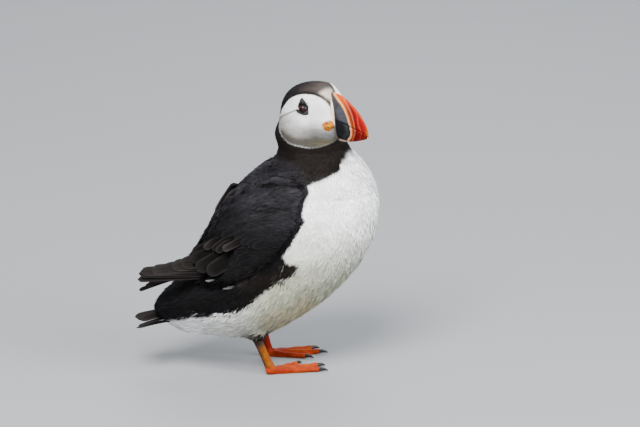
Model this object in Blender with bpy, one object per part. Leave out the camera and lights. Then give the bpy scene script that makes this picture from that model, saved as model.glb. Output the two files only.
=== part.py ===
"""An Atlantic puffin at life size, standing upright with its head turned to its right.

Blender 4.5. Metres, +Z up, +X the way the body faces, +Y the bird's left.
The origin is the centre of the bird's box on the floor.
Every shape is worked out in millimetres and scaled when its mesh is made.
"""

import math

import bmesh
import bpy
from mathutils import Matrix, Vector

MM = 0.001
GAP = 0.35  # between neighbouring pieces

# The body is a row of upright slices from tail root to throat. Each has a back point,
# a belly point, both as (x, z) in the middle plane, and half its width there.
BODY = (
    # back x, back z, belly x, belly z, half width
    (-81.5, 45.0, -76.5, 35.0, 9.0),
    (-77.0, 53.0, -66.0, 28.0, 16.5),
    (-69.0, 60.5, -50.0, 24.2, 26.0),
    (-59.5, 69.0, -31.0, 23.3, 35.0),
    (-50.8, 79.0, -9.0, 25.2, 41.5),
    (-43.0, 92.0, 11.5, 31.5, 45.5),
    (-35.4, 105.2, 32.5, 44.0, 47.5),
    (-27.8, 117.0, 53.5, 61.0, 47.5),
    (-19.6, 127.6, 70.5, 83.0, 46.0),
    (-9.6, 137.6, 79.0, 107.0, 42.5),
    (-0.6, 146.2, 79.0, 130.0, 37.0),
    (6.0, 154.5, 70.5, 147.5, 31.0),
    (7.0, 162.0, 61.5, 157.5, 26.0),
    (4.8, 171.0, 56.5, 166.5, 23.0),
    (8.4, 180.0, 52.0, 175.5, 20.5),
    (15.0, 188.0, 46.0, 184.0, 13.5),
)
BODY_SEGMENTS = 26
BODY_FULLNESS = 0.92  # under 1 makes the slices a little squarer than ellipses
TRUNK_FROM, TRUNK_TO = 0.0, 10.6  # along the rows of BODY
NECK_TO = 15.0
STEPS_PER_ROW = 2

# The head's own frame has f forward, l left and u up, from the middle of the gape.
GAPE = (50.3, -19.6, 185.0)
HEAD_YAW = math.radians(-47.0)
HEAD = (
    # f, crown, underside, half width
    (-48.0, 5.0, -10.0, 6.5),
    (-46.3, 11.5, -16.5, 12.0),
    (-42.5, 17.3, -22.5, 17.2),
    (-36.5, 21.2, -26.5, 20.4),
    (-29.5, 23.2, -28.0, 21.8),
    (-22.0, 23.9, -27.5, 21.8),
    (-15.0, 23.5, -25.5, 19.9),
    (-9.0, 22.4, -22.5, 16.2),
    (-4.5, 21.2, -19.0, 12.2),
    (-1.5, 20.4, -16.4, 8.8),
)
HEAD_SEGMENTS = 22
HEAD_FULLNESS = 0.84

# The bill is deep and thin. Its base leans back towards the crown.
BILL_TOP, BILL_BOTTOM = 18.4, -15.8
BASE_LEAN, BASE_CURL = 1.6, 4.0
UPPER_TIP, LOWER_TIP, GAPE_END = (26.1, -10.2), (24.2, -11.2), (24.5, -8.4)
CULMEN_BULGE, CHIN_BULGE = 5.7, 1.2
BILL_HALF_WIDTH, TIP_HALF_WIDTH = 6.0, 0.9
RIM_LENGTH, RIM_PROUD = 2.6, 0.9
BILL_SHARPNESS = 1.5  # a larger number makes the culmen blunter
BILL_STEPS, BILL_SIDES = 10, 7

# The slate plates fill the bill's base as far as this line, from culmen to chin.
PLATE_EDGE = (
    (-4.6, 19.5), (-3.4, 17.0), (-0.6, 14.6), (4.0, 11.4), (7.8, 7.2), (11.2, 1.0),
    (12.7, -3.8), (12.9, -7.4), (11.6, -10.9), (8.8, -14.0), (7.0, -17.8),
)

EYE = (-18.9, 8.4)  # f and u of each eye's centre
EYE_RADIUS, EYE_SUNK = 3.5, 1.7
ORNAMENT_PROUD = 0.9

# A folded wing lies over the trunk's side, inside this outline in the middle plane.
WING_THICK = 5.2
WING_OUTLINE = (
    (22.5, 137.5), (19.5, 124.0), (14.5, 109.5), (5.5, 95.5), (-5.0, 86.0),
    (-19.0, 78.5), (-34.0, 71.5), (-51.0, 69.0), (-62.0, 75.0), (-57.0, 89.0),
    (-46.0, 104.0), (-32.0, 119.0), (-17.0, 132.5), (-1.0, 143.0), (13.0, 146.0),
)
WING_LEFT_TURN = math.radians(7.0)  # the left wing hangs a little lower at its tip
WING_PIVOT = (-20.0, 105.0)

# Flight feathers are long blades: (x, distance from the middle plane, z) at root and tip.
PRIMARIES = {
    "right": ((-34.0, 38.5, 85.0), (-94.0, 21.0, 75.0)),
    "left": ((-34.0, 36.0, 71.0), (-91.0, 17.0, 52.0)),
}
PRIMARY_BREADTH, PRIMARY_THICK = 20.5, 3.0
TERTIALS = {
    "right": ((-18.0, 43.0, 108.0), (-62.0, 29.5, 83.0)),
    "left": ((-9.0, 21.0, 133.0), (-40.5, 25.0, 97.0)),
}
TERTIAL_BREADTH, TERTIAL_THICK = 17.0, 3.2

TAIL_ROOT, TAIL_TIP = (-68.0, 43.5), (-95.5, 39.2)
TAIL_HALF_ROOT, TAIL_HALF_TIP = 11.0, 18.5
TAIL_THICK, TAIL_FEATHERS, TAIL_ARCH = 2.6, 6, 3.5

FOOT_SPREAD = 24.0  # of each foot from the middle plane
FOOT_X = {"right": -0.5, "left": 1.8}
FOOT_TURN = {"right": math.radians(20.0), "left": math.radians(2.0)}  # to the bird's left
ANKLE_BACK = {"right": 10.4, "left": 4.9}
ANKLE_HEIGHT = 27.5
TOES = (
    # name, length, angle towards the midline, root radius
    ("outer", 36.0, -17.0, 2.5),
    ("middle", 38.5, 1.0, 2.6),
    ("inner", 29.5, 24.0, 2.3),
)
TOE_HEIGHT, WEB_THICK, WEB_REACH, WEB_DIP = 1.9, 1.3, 0.91, 0.84
HEEL_TOP = 5.4  # where the shank stands on the foot
CLAW_LENGTH, CLAW_RADIUS = 6.5, 1.35
SHANK_RADII = (3.5, 2.8)  # fore and aft, and across

COLOURS = {
    # material: red, green, blue, roughness
    "black_plumage": (0.012, 0.012, 0.014, 0.75),
    "brown_black_plumage": (0.022, 0.018, 0.016, 0.80),
    "white_plumage": (0.80, 0.80, 0.78, 0.85),
    "grey_face": (0.62, 0.62, 0.60, 0.85),
    "slate_horn": (0.055, 0.060, 0.068, 0.40),
    "cream_horn": (0.80, 0.62, 0.40, 0.45),
    "red_horn": (0.75, 0.085, 0.015, 0.38),
    "gape_skin": (0.80, 0.36, 0.03, 0.55),
    "eye": (0.035, 0.018, 0.012, 0.08),
    "ornament": (0.045, 0.050, 0.055, 0.55),
    "foot_skin": (0.80, 0.17, 0.015, 0.50),
    "claw": (0.012, 0.010, 0.010, 0.35),
}


# ---------------------------------------------------------------- scene and meshes


def clear_scene():
    for obj in list(bpy.data.objects):
        bpy.data.objects.remove(obj)


def new_collection(name, shown=True):
    collection = bpy.data.collections.new(name)
    bpy.context.scene.collection.children.link(collection)
    collection.hide_render = not shown
    return collection


def material(name):
    found = bpy.data.materials.get(name)
    if found:
        return found
    red, green, blue, roughness = COLOURS[name]
    made = bpy.data.materials.new(name)
    made.use_nodes = True
    shader = made.node_tree.nodes["Principled BSDF"]
    shader.inputs["Base Color"].default_value = (red, green, blue, 1.0)
    shader.inputs["Roughness"].default_value = roughness
    made.diffuse_color = (red, green, blue, 1.0)
    return made


def shade(mesh, angle=40.0):
    mesh.shade_smooth()
    mesh.set_sharp_from_angle(angle=math.radians(angle))


def make_object(name, points, faces, collection, colour=None):
    """A mesh object from points in millimetres."""
    mesh = bpy.data.meshes.new(name)
    mesh.from_pydata([Vector(p) * MM for p in points], [], faces)
    mesh.validate()
    shade(mesh)
    obj = bpy.data.objects.new(name, mesh)
    if colour:
        mesh.materials.append(material(colour))
    else:
        obj.hide_render = True
        obj.display_type = "WIRE"
    collection.objects.link(obj)
    return obj


def ladder(start, count, offset):
    """Faces across a bent ring, each between two rungs that join i to count - offset - i."""
    faces = []
    for i in range(count // 2):
        corners = (i, i + 1, (count - offset - i - 1) % count, (count - offset - i) % count)
        unlike = list(dict.fromkeys(corners))
        if len(unlike) > 2:
            faces.append(tuple(start + corner for corner in unlike))
    return faces


def loft(name, rings, collection, colour=None, bent=None):
    """A closed solid through rings of equal point counts.

    Its ends are flat, unless bent says how their points pair up: "point" if a ring starts on
    the mirror plane and "edge" if it starts beside it.
    """
    count = len(rings[0])
    points = [p for ring in rings for p in ring]
    faces = [
        (a * count + i, a * count + (i + 1) % count,
         (a + 1) * count + (i + 1) % count, (a + 1) * count + i)
        for a in range(len(rings) - 1)
        for i in range(count)
    ]
    last = (len(rings) - 1) * count
    if bent:
        offset = 1 if bent == "edge" else 0
        faces.extend(tuple(reversed(face)) for face in ladder(0, count, offset))
        faces.extend(ladder(last, count, offset))
    else:
        faces.append(tuple(reversed(range(count))))
        faces.append(tuple(range(last, last + count)))
    obj = make_object(name, points, faces, collection, colour)
    face_outwards(obj.data)
    return obj


def face_outwards(mesh):
    """Turns every face round if the closed mesh is inside out."""
    volume = 0.0
    mesh.calc_loop_triangles()
    for triangle in mesh.loop_triangles:
        a, b, c = (mesh.vertices[i].co for i in triangle.vertices)
        volume += a.dot(b.cross(c))
    if volume < 0:
        mesh.flip_normals()


def boolean(obj, other, operation):
    """Applies a Boolean at once, so that a cutter may be changed or reused later."""
    modifier = obj.modifiers.new(operation.title(), "BOOLEAN")
    modifier.operation = operation
    modifier.object = other
    modifier.solver = "EXACT"
    graph = bpy.context.evaluated_depsgraph_get()
    mesh = bpy.data.meshes.new_from_object(obj.evaluated_get(graph))
    obj.modifiers.clear()
    old, obj.data = obj.data, mesh
    bpy.data.meshes.remove(old)
    mesh.name = obj.name
    shade(obj.data)
    return obj


def cut(obj, *others):
    for other in others:
        boolean(obj, other, "DIFFERENCE")
    return obj


# ---------------------------------------------------------------- curves


def through(rows, t):
    """The row at place t of a table, on a smooth curve through its rows."""
    last = len(rows) - 1
    i = min(int(t), last - 1)
    s = t - i
    before, a, b, after = (rows[min(max(i + k, 0), last)] for k in (-1, 0, 1, 2))
    return tuple(
        0.5 * (2 * q + (r - p) * s + (2 * p - 5 * q + 4 * r - w) * s * s
               + (3 * q - p - 3 * r + w) * s * s * s)
        for p, q, r, w in zip(before, a, b, after)
    )


def closed_curve(corners, steps):
    """Points on a smooth closed curve through corners."""
    count = len(corners)
    wrapped = [corners[(i - 1) % count] for i in range(count + 3)]
    return [
        through(wrapped, 1 + i + k / steps) for i in range(count) for k in range(steps)
    ]


def signed_power(value, power):
    return math.copysign(abs(value) ** power, value)


def mixed(a, b, share):
    return a + (b - a) * share


# ---------------------------------------------------------------- body


def body_ring(t, grow=0.0):
    """One slice of the body, grown outwards, and the slice's unit normal."""
    back_x, back_z, belly_x, belly_z, half = through(BODY, t)
    back, belly = Vector((back_x, 0, back_z)), Vector((belly_x, 0, belly_z))
    along = (belly - back).normalized()
    middle, reach = (back + belly) / 2, (belly - back).length / 2 + grow
    ring = []
    for i in range(BODY_SEGMENTS):
        turn = 2 * math.pi * i / BODY_SEGMENTS
        side = signed_power(math.sin(turn), BODY_FULLNESS) * (half + grow)
        down = -signed_power(math.cos(turn), BODY_FULLNESS) * reach
        ring.append(middle + along * down + Vector((0, side, 0)))
    return ring, along.cross(Vector((0, 1, 0)))


def body_loft(name, start, end, collection, colour=None, grow=0.0, inset=0.0):
    """The body from one row to another, its first slice moved in by inset."""
    steps = max(1, round((end - start) * STEPS_PER_ROW))
    slices = [body_ring(mixed(start, end, k / steps), grow) for k in range(steps + 1)]
    rings = [ring for ring, _ in slices]
    forward = slices[0][1]
    if forward.dot(rings[1][0] - rings[0][0]) < 0:
        forward = -forward
    rings[0] = [p + forward * inset for p in rings[0]]
    return loft(name, rings, collection, colour)


# ---------------------------------------------------------------- head and bill


def in_head(f, l, u):
    """A point of the head's own frame, in the bird's frame."""
    turn = Matrix.Rotation(HEAD_YAW, 3, "Z")
    return Vector(GAPE) + turn @ Vector((f, l, u))


def base_f(u):
    """How far forward the bill's base lies at height u."""
    share = max((u - BILL_BOTTOM) / (BILL_TOP - BILL_BOTTOM), 0.0)
    return 0.6 - BASE_LEAN * share - BASE_CURL * share ** 4


def head_loft(name, collection, colour=None, grow=0.0):
    rings = []
    steps = (len(HEAD) - 1) * 2
    front = HEAD[-1][0]
    for k in range(steps + 1):
        f, crown, under, half = through(HEAD, k * (len(HEAD) - 1) / steps)
        lean = max(0.0, 1 + (f - front) / 16.0)  # the last slices lean back with the bill
        middle, reach = (crown + under) / 2, (crown - under) / 2 + grow
        f += grow if k == steps else -grow if k == 0 else 0.0
        ring = []
        for i in range(HEAD_SEGMENTS):
            turn = 2 * math.pi * i / HEAD_SEGMENTS
            u = middle + signed_power(math.cos(turn), HEAD_FULLNESS) * reach
            l = signed_power(math.sin(turn), HEAD_FULLNESS) * (half + grow)
            ring.append(in_head(f + lean * base_f(min(u, BILL_TOP)), l, u))
        rings.append(ring)
    return loft(name, rings, collection, colour, bent="point")


def bulged(start, end, bulge, share):
    """A point (f, u) on an even arc from start to end, standing out by bulge."""
    f, u = mixed(start[0], end[0], share), mixed(start[1], end[1], share)
    length = math.dist(start, end)
    side = ((start[1] - end[1]) / length, (end[0] - start[0]) / length)
    out = bulge * 4 * share * (1 - share)
    return f + side[0] * out, u + side[1] * out


def mandible(name, collection, colour, upper):
    """Half of the bill, as slices that each run from the gape to the bill's edge."""
    corner = (base_f(BILL_TOP), BILL_TOP) if upper else (base_f(BILL_BOTTOM), BILL_BOTTOM)
    bulge, tip = (CULMEN_BULGE, UPPER_TIP) if upper else (-CHIN_BULGE, LOWER_TIP)
    lift = GAP / 2 if upper else -GAP / 2
    start, end = (base_f(0.0), lift), (GAPE_END[0], GAPE_END[1] + lift)
    rings = []
    for k in range(BILL_STEPS + 1):
        share = k / BILL_STEPS
        edge = bulged(corner, tip, bulge, share)
        gape = bulged(start, end, 0.6, share)
        wide = mixed(BILL_HALF_WIDTH, TIP_HALF_WIDTH, share ** 1.15)
        left = []
        for i in range(BILL_SIDES):
            t = i / (BILL_SIDES - 1)
            l = wide * (0.16 + 0.84 * max(0.0, 1 - t ** BILL_SHARPNESS) ** 0.7)
            f = mixed(gape[0], edge[0], t)
            u = mixed(gape[1], edge[1], t)
            f += (base_f(u) - mixed(gape[0], edge[0], t)) if k == 0 else 0.0
            left.append((f, l, u))
        ring = left + [(f, -l, u) for f, l, u in reversed(left)]
        rings.append([in_head(f, l, u) for f, l, u in ring])
    return loft(name, rings, collection, colour, bent="edge")


def plate_prism(name, by, collection):
    """Everything behind the slate plates' edge, which is moved forward by a little."""
    edge = [through(PLATE_EDGE, k / 3) for k in range(3 * (len(PLATE_EDGE) - 1) + 1)]
    moved = []
    for k, (f, u) in enumerate(edge):
        before, after = edge[max(k - 1, 0)], edge[min(k + 1, len(edge) - 1)]
        length = math.dist(before, after)
        moved.append((f - (after[1] - before[1]) / length * by, u + (after[0] - before[0]) / length * by))
    outline = [(-12.0, 26.0), (moved[0][0], 26.0)] + moved + [(moved[-1][0], -24.0), (-12.0, -24.0)]
    rings = [[in_head(f, l, u) for f, u in outline] for l in (-15.0, 15.0)]
    return loft(name, rings, collection)


def split_bill(upper, shown, cutters):
    """Parts a mandible into its slate plate and its coloured tip."""
    name = "upper" if upper else "lower"
    plate = mandible(f"bill_{name}_plate", shown, "slate_horn", upper)
    tip = mandible(f"bill_{name}_tip", shown, "red_horn", upper)
    boolean(plate, plate_prism(f"plate_{name}", 0.0, cutters), "INTERSECT")
    cut(tip, plate_prism(f"tip_{name}", GAP, cutters))
    keep_largest_shell(plate.data)
    keep_largest_shell(tip.data)


def bill_rim(name, collection, colour):
    """The fleshy cream ridge that frames the bill's base."""
    rings = []
    for back in (RIM_LENGTH + GAP, RIM_LENGTH * 0.5, GAP):
        swell = RIM_PROUD * (1.0 if back == RIM_LENGTH * 0.5 else 0.55)
        ring = []
        for i in range(HEAD_SEGMENTS):
            turn = 2 * math.pi * i / HEAD_SEGMENTS
            middle, reach = (BILL_TOP + BILL_BOTTOM) / 2, (BILL_TOP - BILL_BOTTOM) / 2
            u = middle + math.cos(turn) * (reach + swell)
            l = math.sin(turn) * (BILL_HALF_WIDTH + swell)
            ring.append(in_head(base_f(min(u, BILL_TOP)) - back, l, u))
        rings.append(ring)
    return loft(name, rings, collection, colour, bent="point")


def ball(name, centre, radii, collection, colour=None, segments=14, rings=9):
    """An ellipsoid, with its axes along the head's frame."""
    bpy.ops.mesh.primitive_uv_sphere_add(segments=segments, ring_count=rings, radius=MM)
    obj = bpy.context.object
    obj.name = obj.data.name = name
    for owner in list(obj.users_collection):
        owner.objects.unlink(obj)
    collection.objects.link(obj)
    turn = Matrix.Rotation(HEAD_YAW, 4, "Z")
    place = Matrix.Translation(Vector(centre) * MM)
    obj.data.transform(place @ turn @ Matrix.Diagonal((*radii, 1.0)))
    obj.data.shade_smooth()
    if colour:
        obj.data.materials.append(material(colour))
    else:
        obj.hide_render = True
        obj.display_type = "WIRE"
    return obj


def head_half_width(f, u):
    """Half the head's width at a place of its side."""
    for row, after in zip(HEAD, HEAD[1:]):
        if row[0] <= f <= after[0]:
            share = (f - row[0]) / (after[0] - row[0])
            crown, under, half = (mixed(row[i], after[i], share) for i in (1, 2, 3))
            middle, reach = (crown + under) / 2, (crown - under) / 2
            height = min(1.0, abs(u - middle) / reach)
            turn = math.acos(height ** (1 / HEAD_FULLNESS))
            return half * math.sin(turn) ** HEAD_FULLNESS
    return 0.0


def face_prism(name, outline, sign, collection):
    """An outline in (f, u), pushed through one side of the face."""
    near, far = 6.0 * sign, 34.0 * sign
    rings = [[in_head(f, l, u) for f, u in outline] for l in (near, far)]
    return loft(name, rings, collection)


# ---------------------------------------------------------------- wings and tail


def turned(point, pivot, angle):
    x, z = point[0] - pivot[0], point[1] - pivot[1]
    c, s = math.cos(angle), math.sin(angle)
    return pivot[0] + c * x - s * z, pivot[1] + s * x + c * z


def folded_wing(side, trunk_skin, trunk_over, shown, cutters):
    """The covert part of a folded wing: the shell over the trunk inside the outline."""
    sign = 1 if side == "left" else -1
    angle = WING_LEFT_TURN if side == "left" else 0.0
    outline = [turned(p, WING_PIVOT, angle) for p in closed_curve(WING_OUTLINE, 2)]
    rings = [[(x, y * sign, z) for x, z in outline] for y in (5.0, 70.0)]
    wing = loft(f"wing_{side}_coverts", rings, shown, "black_plumage")
    boolean(wing, trunk_over, "INTERSECT")
    return cut(wing, trunk_skin)


def blade(name, root, tip, sign, breadth, thick, collection, colour, lean=0.35):
    """A long flat feather group, widest near its root, rounded at its tip."""
    start, end = (Vector((p[0], p[1] * sign, p[2])) for p in (root, tip))
    along = (end - start).normalized()
    outwards = Vector((0, sign, lean))
    flat = along.cross(outwards).normalized()
    out = flat.cross(along).normalized()
    if out.y * sign < 0:
        out = -out
    steps, sides, rings = 9, 10, []
    for k in range(steps + 1):
        share = k / steps
        taper = math.sqrt(max(0.0, 1 - (share * 0.985) ** 5)) * mixed(1.0, 0.72, share)
        swell = min(1.0, 0.55 + 1.6 * share)
        centre = start + (end - start) * share + out * (3.0 * math.sin(math.pi * share))
        ring = []
        for i in range(sides):
            turn = 2 * math.pi * i / sides
            wide = math.cos(turn) * breadth / 2 * taper * swell
            deep = math.sin(turn) * thick / 2 * mixed(1.0, 0.45, share)
            ring.append(centre + flat * wide + out * deep)
        rings.append(ring)
    return loft(name, rings, collection, colour)


def tail_fan(collection, colour):
    """The closed tail: overlapping square-tipped feathers, arched across."""
    columns, rows = TAIL_FEATHERS * 4, 5
    top, bottom = [], []
    for i in range(columns + 1):
        across = 2 * i / columns - 1
        in_feather = (i % 4) / 4
        notch = 1.0 - 0.05 * abs(2 * in_feather - 1) ** 3 - 0.10 * across ** 2
        for j in range(rows + 1):
            share = j / rows * notch
            half = mixed(TAIL_HALF_ROOT, TAIL_HALF_TIP, share)
            x = mixed(TAIL_ROOT[0], TAIL_TIP[0], share)
            z = mixed(TAIL_ROOT[1], TAIL_TIP[1], share) - TAIL_ARCH * across ** 2
            thick = TAIL_THICK * mixed(1.0, 0.5, share) * (1 - 0.45 * across ** 4)
            step = 0.35 * in_feather * (1 if across > 0 else -1)
            top.append((x, across * half, z + thick / 2 + step))
            bottom.append((x, across * half, z - thick / 2 + step * 0.5))
    count, width = len(top), rows + 1
    faces = []
    for i in range(columns):
        for j in range(rows):
            a = i * width + j
            faces.append((a, a + 1, a + width + 1, a + width))
            faces.append(tuple(count + v for v in (a, a + width, a + width + 1, a + 1)))
        for j in (0, rows):
            a = i * width + j
            side = (a, a + width, count + a + width, count + a)
            faces.append(side if j == rows else tuple(reversed(side)))
    for i in (0, columns):
        for j in range(rows):
            a = i * width + j
            side = (a + 1, a, count + a, count + a + 1)
            faces.append(side if i == columns else tuple(reversed(side)))
    obj = make_object("tail", top + bottom, faces, collection, colour)
    tidy_normals(obj.data)
    return obj


def tidy_normals(mesh):
    work = bmesh.new()
    work.from_mesh(mesh)
    bmesh.ops.recalc_face_normals(work, faces=work.faces)
    work.to_mesh(mesh)
    work.free()
    face_outwards(mesh)


def keep_largest_shell(mesh):
    """Drops every shell but the widest, such as a bubble left where parts were joined."""
    work = bmesh.new()
    work.from_mesh(mesh)
    unseen, shells = set(work.verts), []
    while unseen:
        shell, queue = set(), [unseen.pop()]
        while queue:
            vert = queue.pop()
            shell.add(vert)
            near = {edge.other_vert(vert) for edge in vert.link_edges} & unseen
            unseen -= near
            queue.extend(near)
        shells.append(shell)
    shells.sort(key=lambda shell: len(shell))
    dropped = [vert for shell in shells[:-1] for vert in shell]
    bmesh.ops.delete(work, geom=dropped, context="VERTS")
    work.to_mesh(mesh)
    work.free()
    if dropped:
        print("dropped", len(shells) - 1, "inner shells of", mesh.name)


# ---------------------------------------------------------------- legs and feet


def tube(name, path, radii, collection, colour=None, sides=10, squash=1.0):
    """A closed tube along points, with its own radius at each, squashed across Y."""
    points = [Vector(p) for p in path]
    rings = []
    for k, (point, radius) in enumerate(zip(points, radii)):
        along = (points[min(k + 1, len(points) - 1)] - points[max(k - 1, 0)]).normalized()
        across = Vector((0, 1, 0)) if abs(along.y) < 0.9 else Vector((1, 0, 0))
        first = along.cross(across).normalized()
        second = first.cross(along).normalized()
        rings.append([
            point + first * math.cos(turn) * radius + second * math.sin(turn) * radius * squash
            for turn in (2 * math.pi * i / sides for i in range(sides))
        ])
    return loft(name, rings, collection, colour)


def foot_frame(side):
    """The foot joint, its forward and its inward direction."""
    sign = 1 if side == "left" else -1
    joint = Vector((FOOT_X[side], sign * FOOT_SPREAD, 0))
    forward = Vector((math.cos(FOOT_TURN[side]), math.sin(FOOT_TURN[side]), 0))
    inward = Vector((0, 0, 1)).cross(forward) * -sign
    return joint, forward, inward


def toe_direction(forward, inward, degrees):
    angle = math.radians(degrees)
    return forward * math.cos(angle) + inward * math.sin(angle)


def webbed_foot(side, shown, cutters):
    """Three toes joined by webs, flat underneath, and a claw on each toe."""
    joint, forward, inward = foot_frame(side)
    ends, toes = [], []
    for name, length, angle, radius in TOES:
        along = toe_direction(forward, inward, angle)
        path, radii = [], []
        for k in range(7):
            share = k / 6
            rise = TOE_HEIGHT + 1.1 * (1 - share) ** 2
            path.append(joint + along * (length * share - 1.0) + Vector((0, 0, rise)))
            knuckle = 1 + 0.13 * math.cos(share * 3 * 2 * math.pi)
            radii.append(mixed(radius, radius * 0.72, share) * knuckle)
        toes.append(tube(f"toe_{name}_{side}", path, radii, cutters, sides=10))
        ends.append((joint + along * length, along, name, radius))
    outline = [joint - forward * 2.0]
    for (end, *_), (after, *_) in zip(ends, ends[1:]):
        outline.append(joint + (end - joint) * WEB_REACH)
        dip = joint + ((end + after) / 2 - joint) * WEB_DIP
        outline.append(dip)
    outline.append(joint + (ends[-1][0] - joint) * WEB_REACH)
    web_points = closed_curve([(p.x, p.y) for p in outline], 4)
    rings = [[(x, y, z) for x, y in web_points] for z in (0.0, WEB_THICK)]
    foot = loft(f"foot_{side}", rings, shown, "foot_skin")
    heel = tube(
        f"heel_{side}",
        [joint + Vector((-3.4, 0, 2.2)), joint + Vector((0.5, 0, 3.2)),
         joint + forward * 7 + Vector((0, 0, 2.2))],
        [2.8, 4.2, 2.4], cutters,
    )
    for piece in (*toes, heel):
        boolean(foot, piece, "UNION")
    cut(foot, slab(f"floor_{side}", -40.0, 0.0, cutters), slab(f"above_{side}", HEEL_TOP, 40.0, cutters))
    keep_largest_shell(foot.data)
    for end, along, name, radius in ends:
        base = end - along * (1.0 - GAP) + Vector((0, 0, TOE_HEIGHT))
        path = [
            base + along * (CLAW_LENGTH * share) + Vector((0, 0, rise))
            for share, rise in ((0.0, 0.0), (0.2, 0.0), (0.45, 0.1), (0.72, -0.25), (1.0, -1.15))
        ]
        radii = [CLAW_RADIUS * share for share in (1.0, 0.98, 0.8, 0.52, 0.18)]
        tube(f"claw_{name}_{side}", path, radii, shown, "claw", sides=8)


def slab(name, low, high, collection):
    """A wide flat block between two heights."""
    corners = ((-160.0, -160.0), (160.0, -160.0), (160.0, 160.0), (-160.0, 160.0))
    return loft(name, [[(x, y, z) for x, y in corners] for z in (low, high)], collection)


def leg(side, trunk_skin, shown, cutters):
    """The feathered thigh below the belly and the bare shank above the foot."""
    sign = 1 if side == "left" else -1
    joint, _, _ = foot_frame(side)
    ankle = Vector((joint.x - ANKLE_BACK[side], joint.y, ANKLE_HEIGHT))
    thigh = tube(
        f"thigh_{side}",
        [ankle + Vector((0.0, -sign * 2.0, 24.0)), ankle + Vector((0.0, -sign, 12.0)),
         ankle + Vector((0.3, 0, 3.0)), ankle + Vector((0.6, 0, -3.0))],
        [13.0, 11.0, 7.6, 5.6], shown, "white_plumage", sides=14,
    )
    hem = ANKLE_HEIGHT - 1.5
    cut(thigh, trunk_skin, slab(f"under_{side}", -40.0, hem, cutters))
    keep_largest_shell(thigh.data)
    top, bottom = ankle + Vector((0, 0, 1.0)), joint + Vector((0.5, 0, 3.0))
    path = [mixed(top, bottom, s) for s in (0, 0.2, 0.5, 0.75, 1)]
    radii = [SHANK_RADII[0] * r for r in (1.1, 0.95, 0.9, 0.95, 1.15)]
    shank = tube(f"shank_{side}", path, radii, shown, "foot_skin", sides=12,
                 squash=SHANK_RADII[1] / SHANK_RADII[0])
    cut(shank, trunk_skin, slab(f"below_{side}", -40.0, HEEL_TOP + GAP, cutters),
        slab(f"over_{side}", hem - GAP, 80.0, cutters))
    keep_largest_shell(shank.data)


def grown_copy(obj, by, collection):
    """A copy of a piece with every point moved out along its normal."""
    mesh = obj.data.copy()
    grown = bpy.data.objects.new(obj.name + "_grown", mesh)
    normals = [v.normal.copy() for v in mesh.vertices]
    for vertex, normal in zip(mesh.vertices, normals):
        vertex.co += normal * by * MM
    grown.hide_render = True
    grown.display_type = "WIRE"
    collection.objects.link(grown)
    return grown


# ---------------------------------------------------------------- the bird


def stand_on_origin(objects):
    """Moves the bird so that the centre of its box's floor is the origin."""
    corners = [o.matrix_world @ Vector(c) for o in objects for c in o.bound_box]
    low = Vector(min(c[i] for c in corners) for i in range(3))
    high = Vector(max(c[i] for c in corners) for i in range(3))
    shift = Vector((-(low.x + high.x) / 2, -(low.y + high.y) / 2, -low.z))
    for obj in objects:
        obj.data.transform(Matrix.Translation(shift))
    print("moved by (mm)", [round(v / MM, 3) for v in shift])


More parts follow.
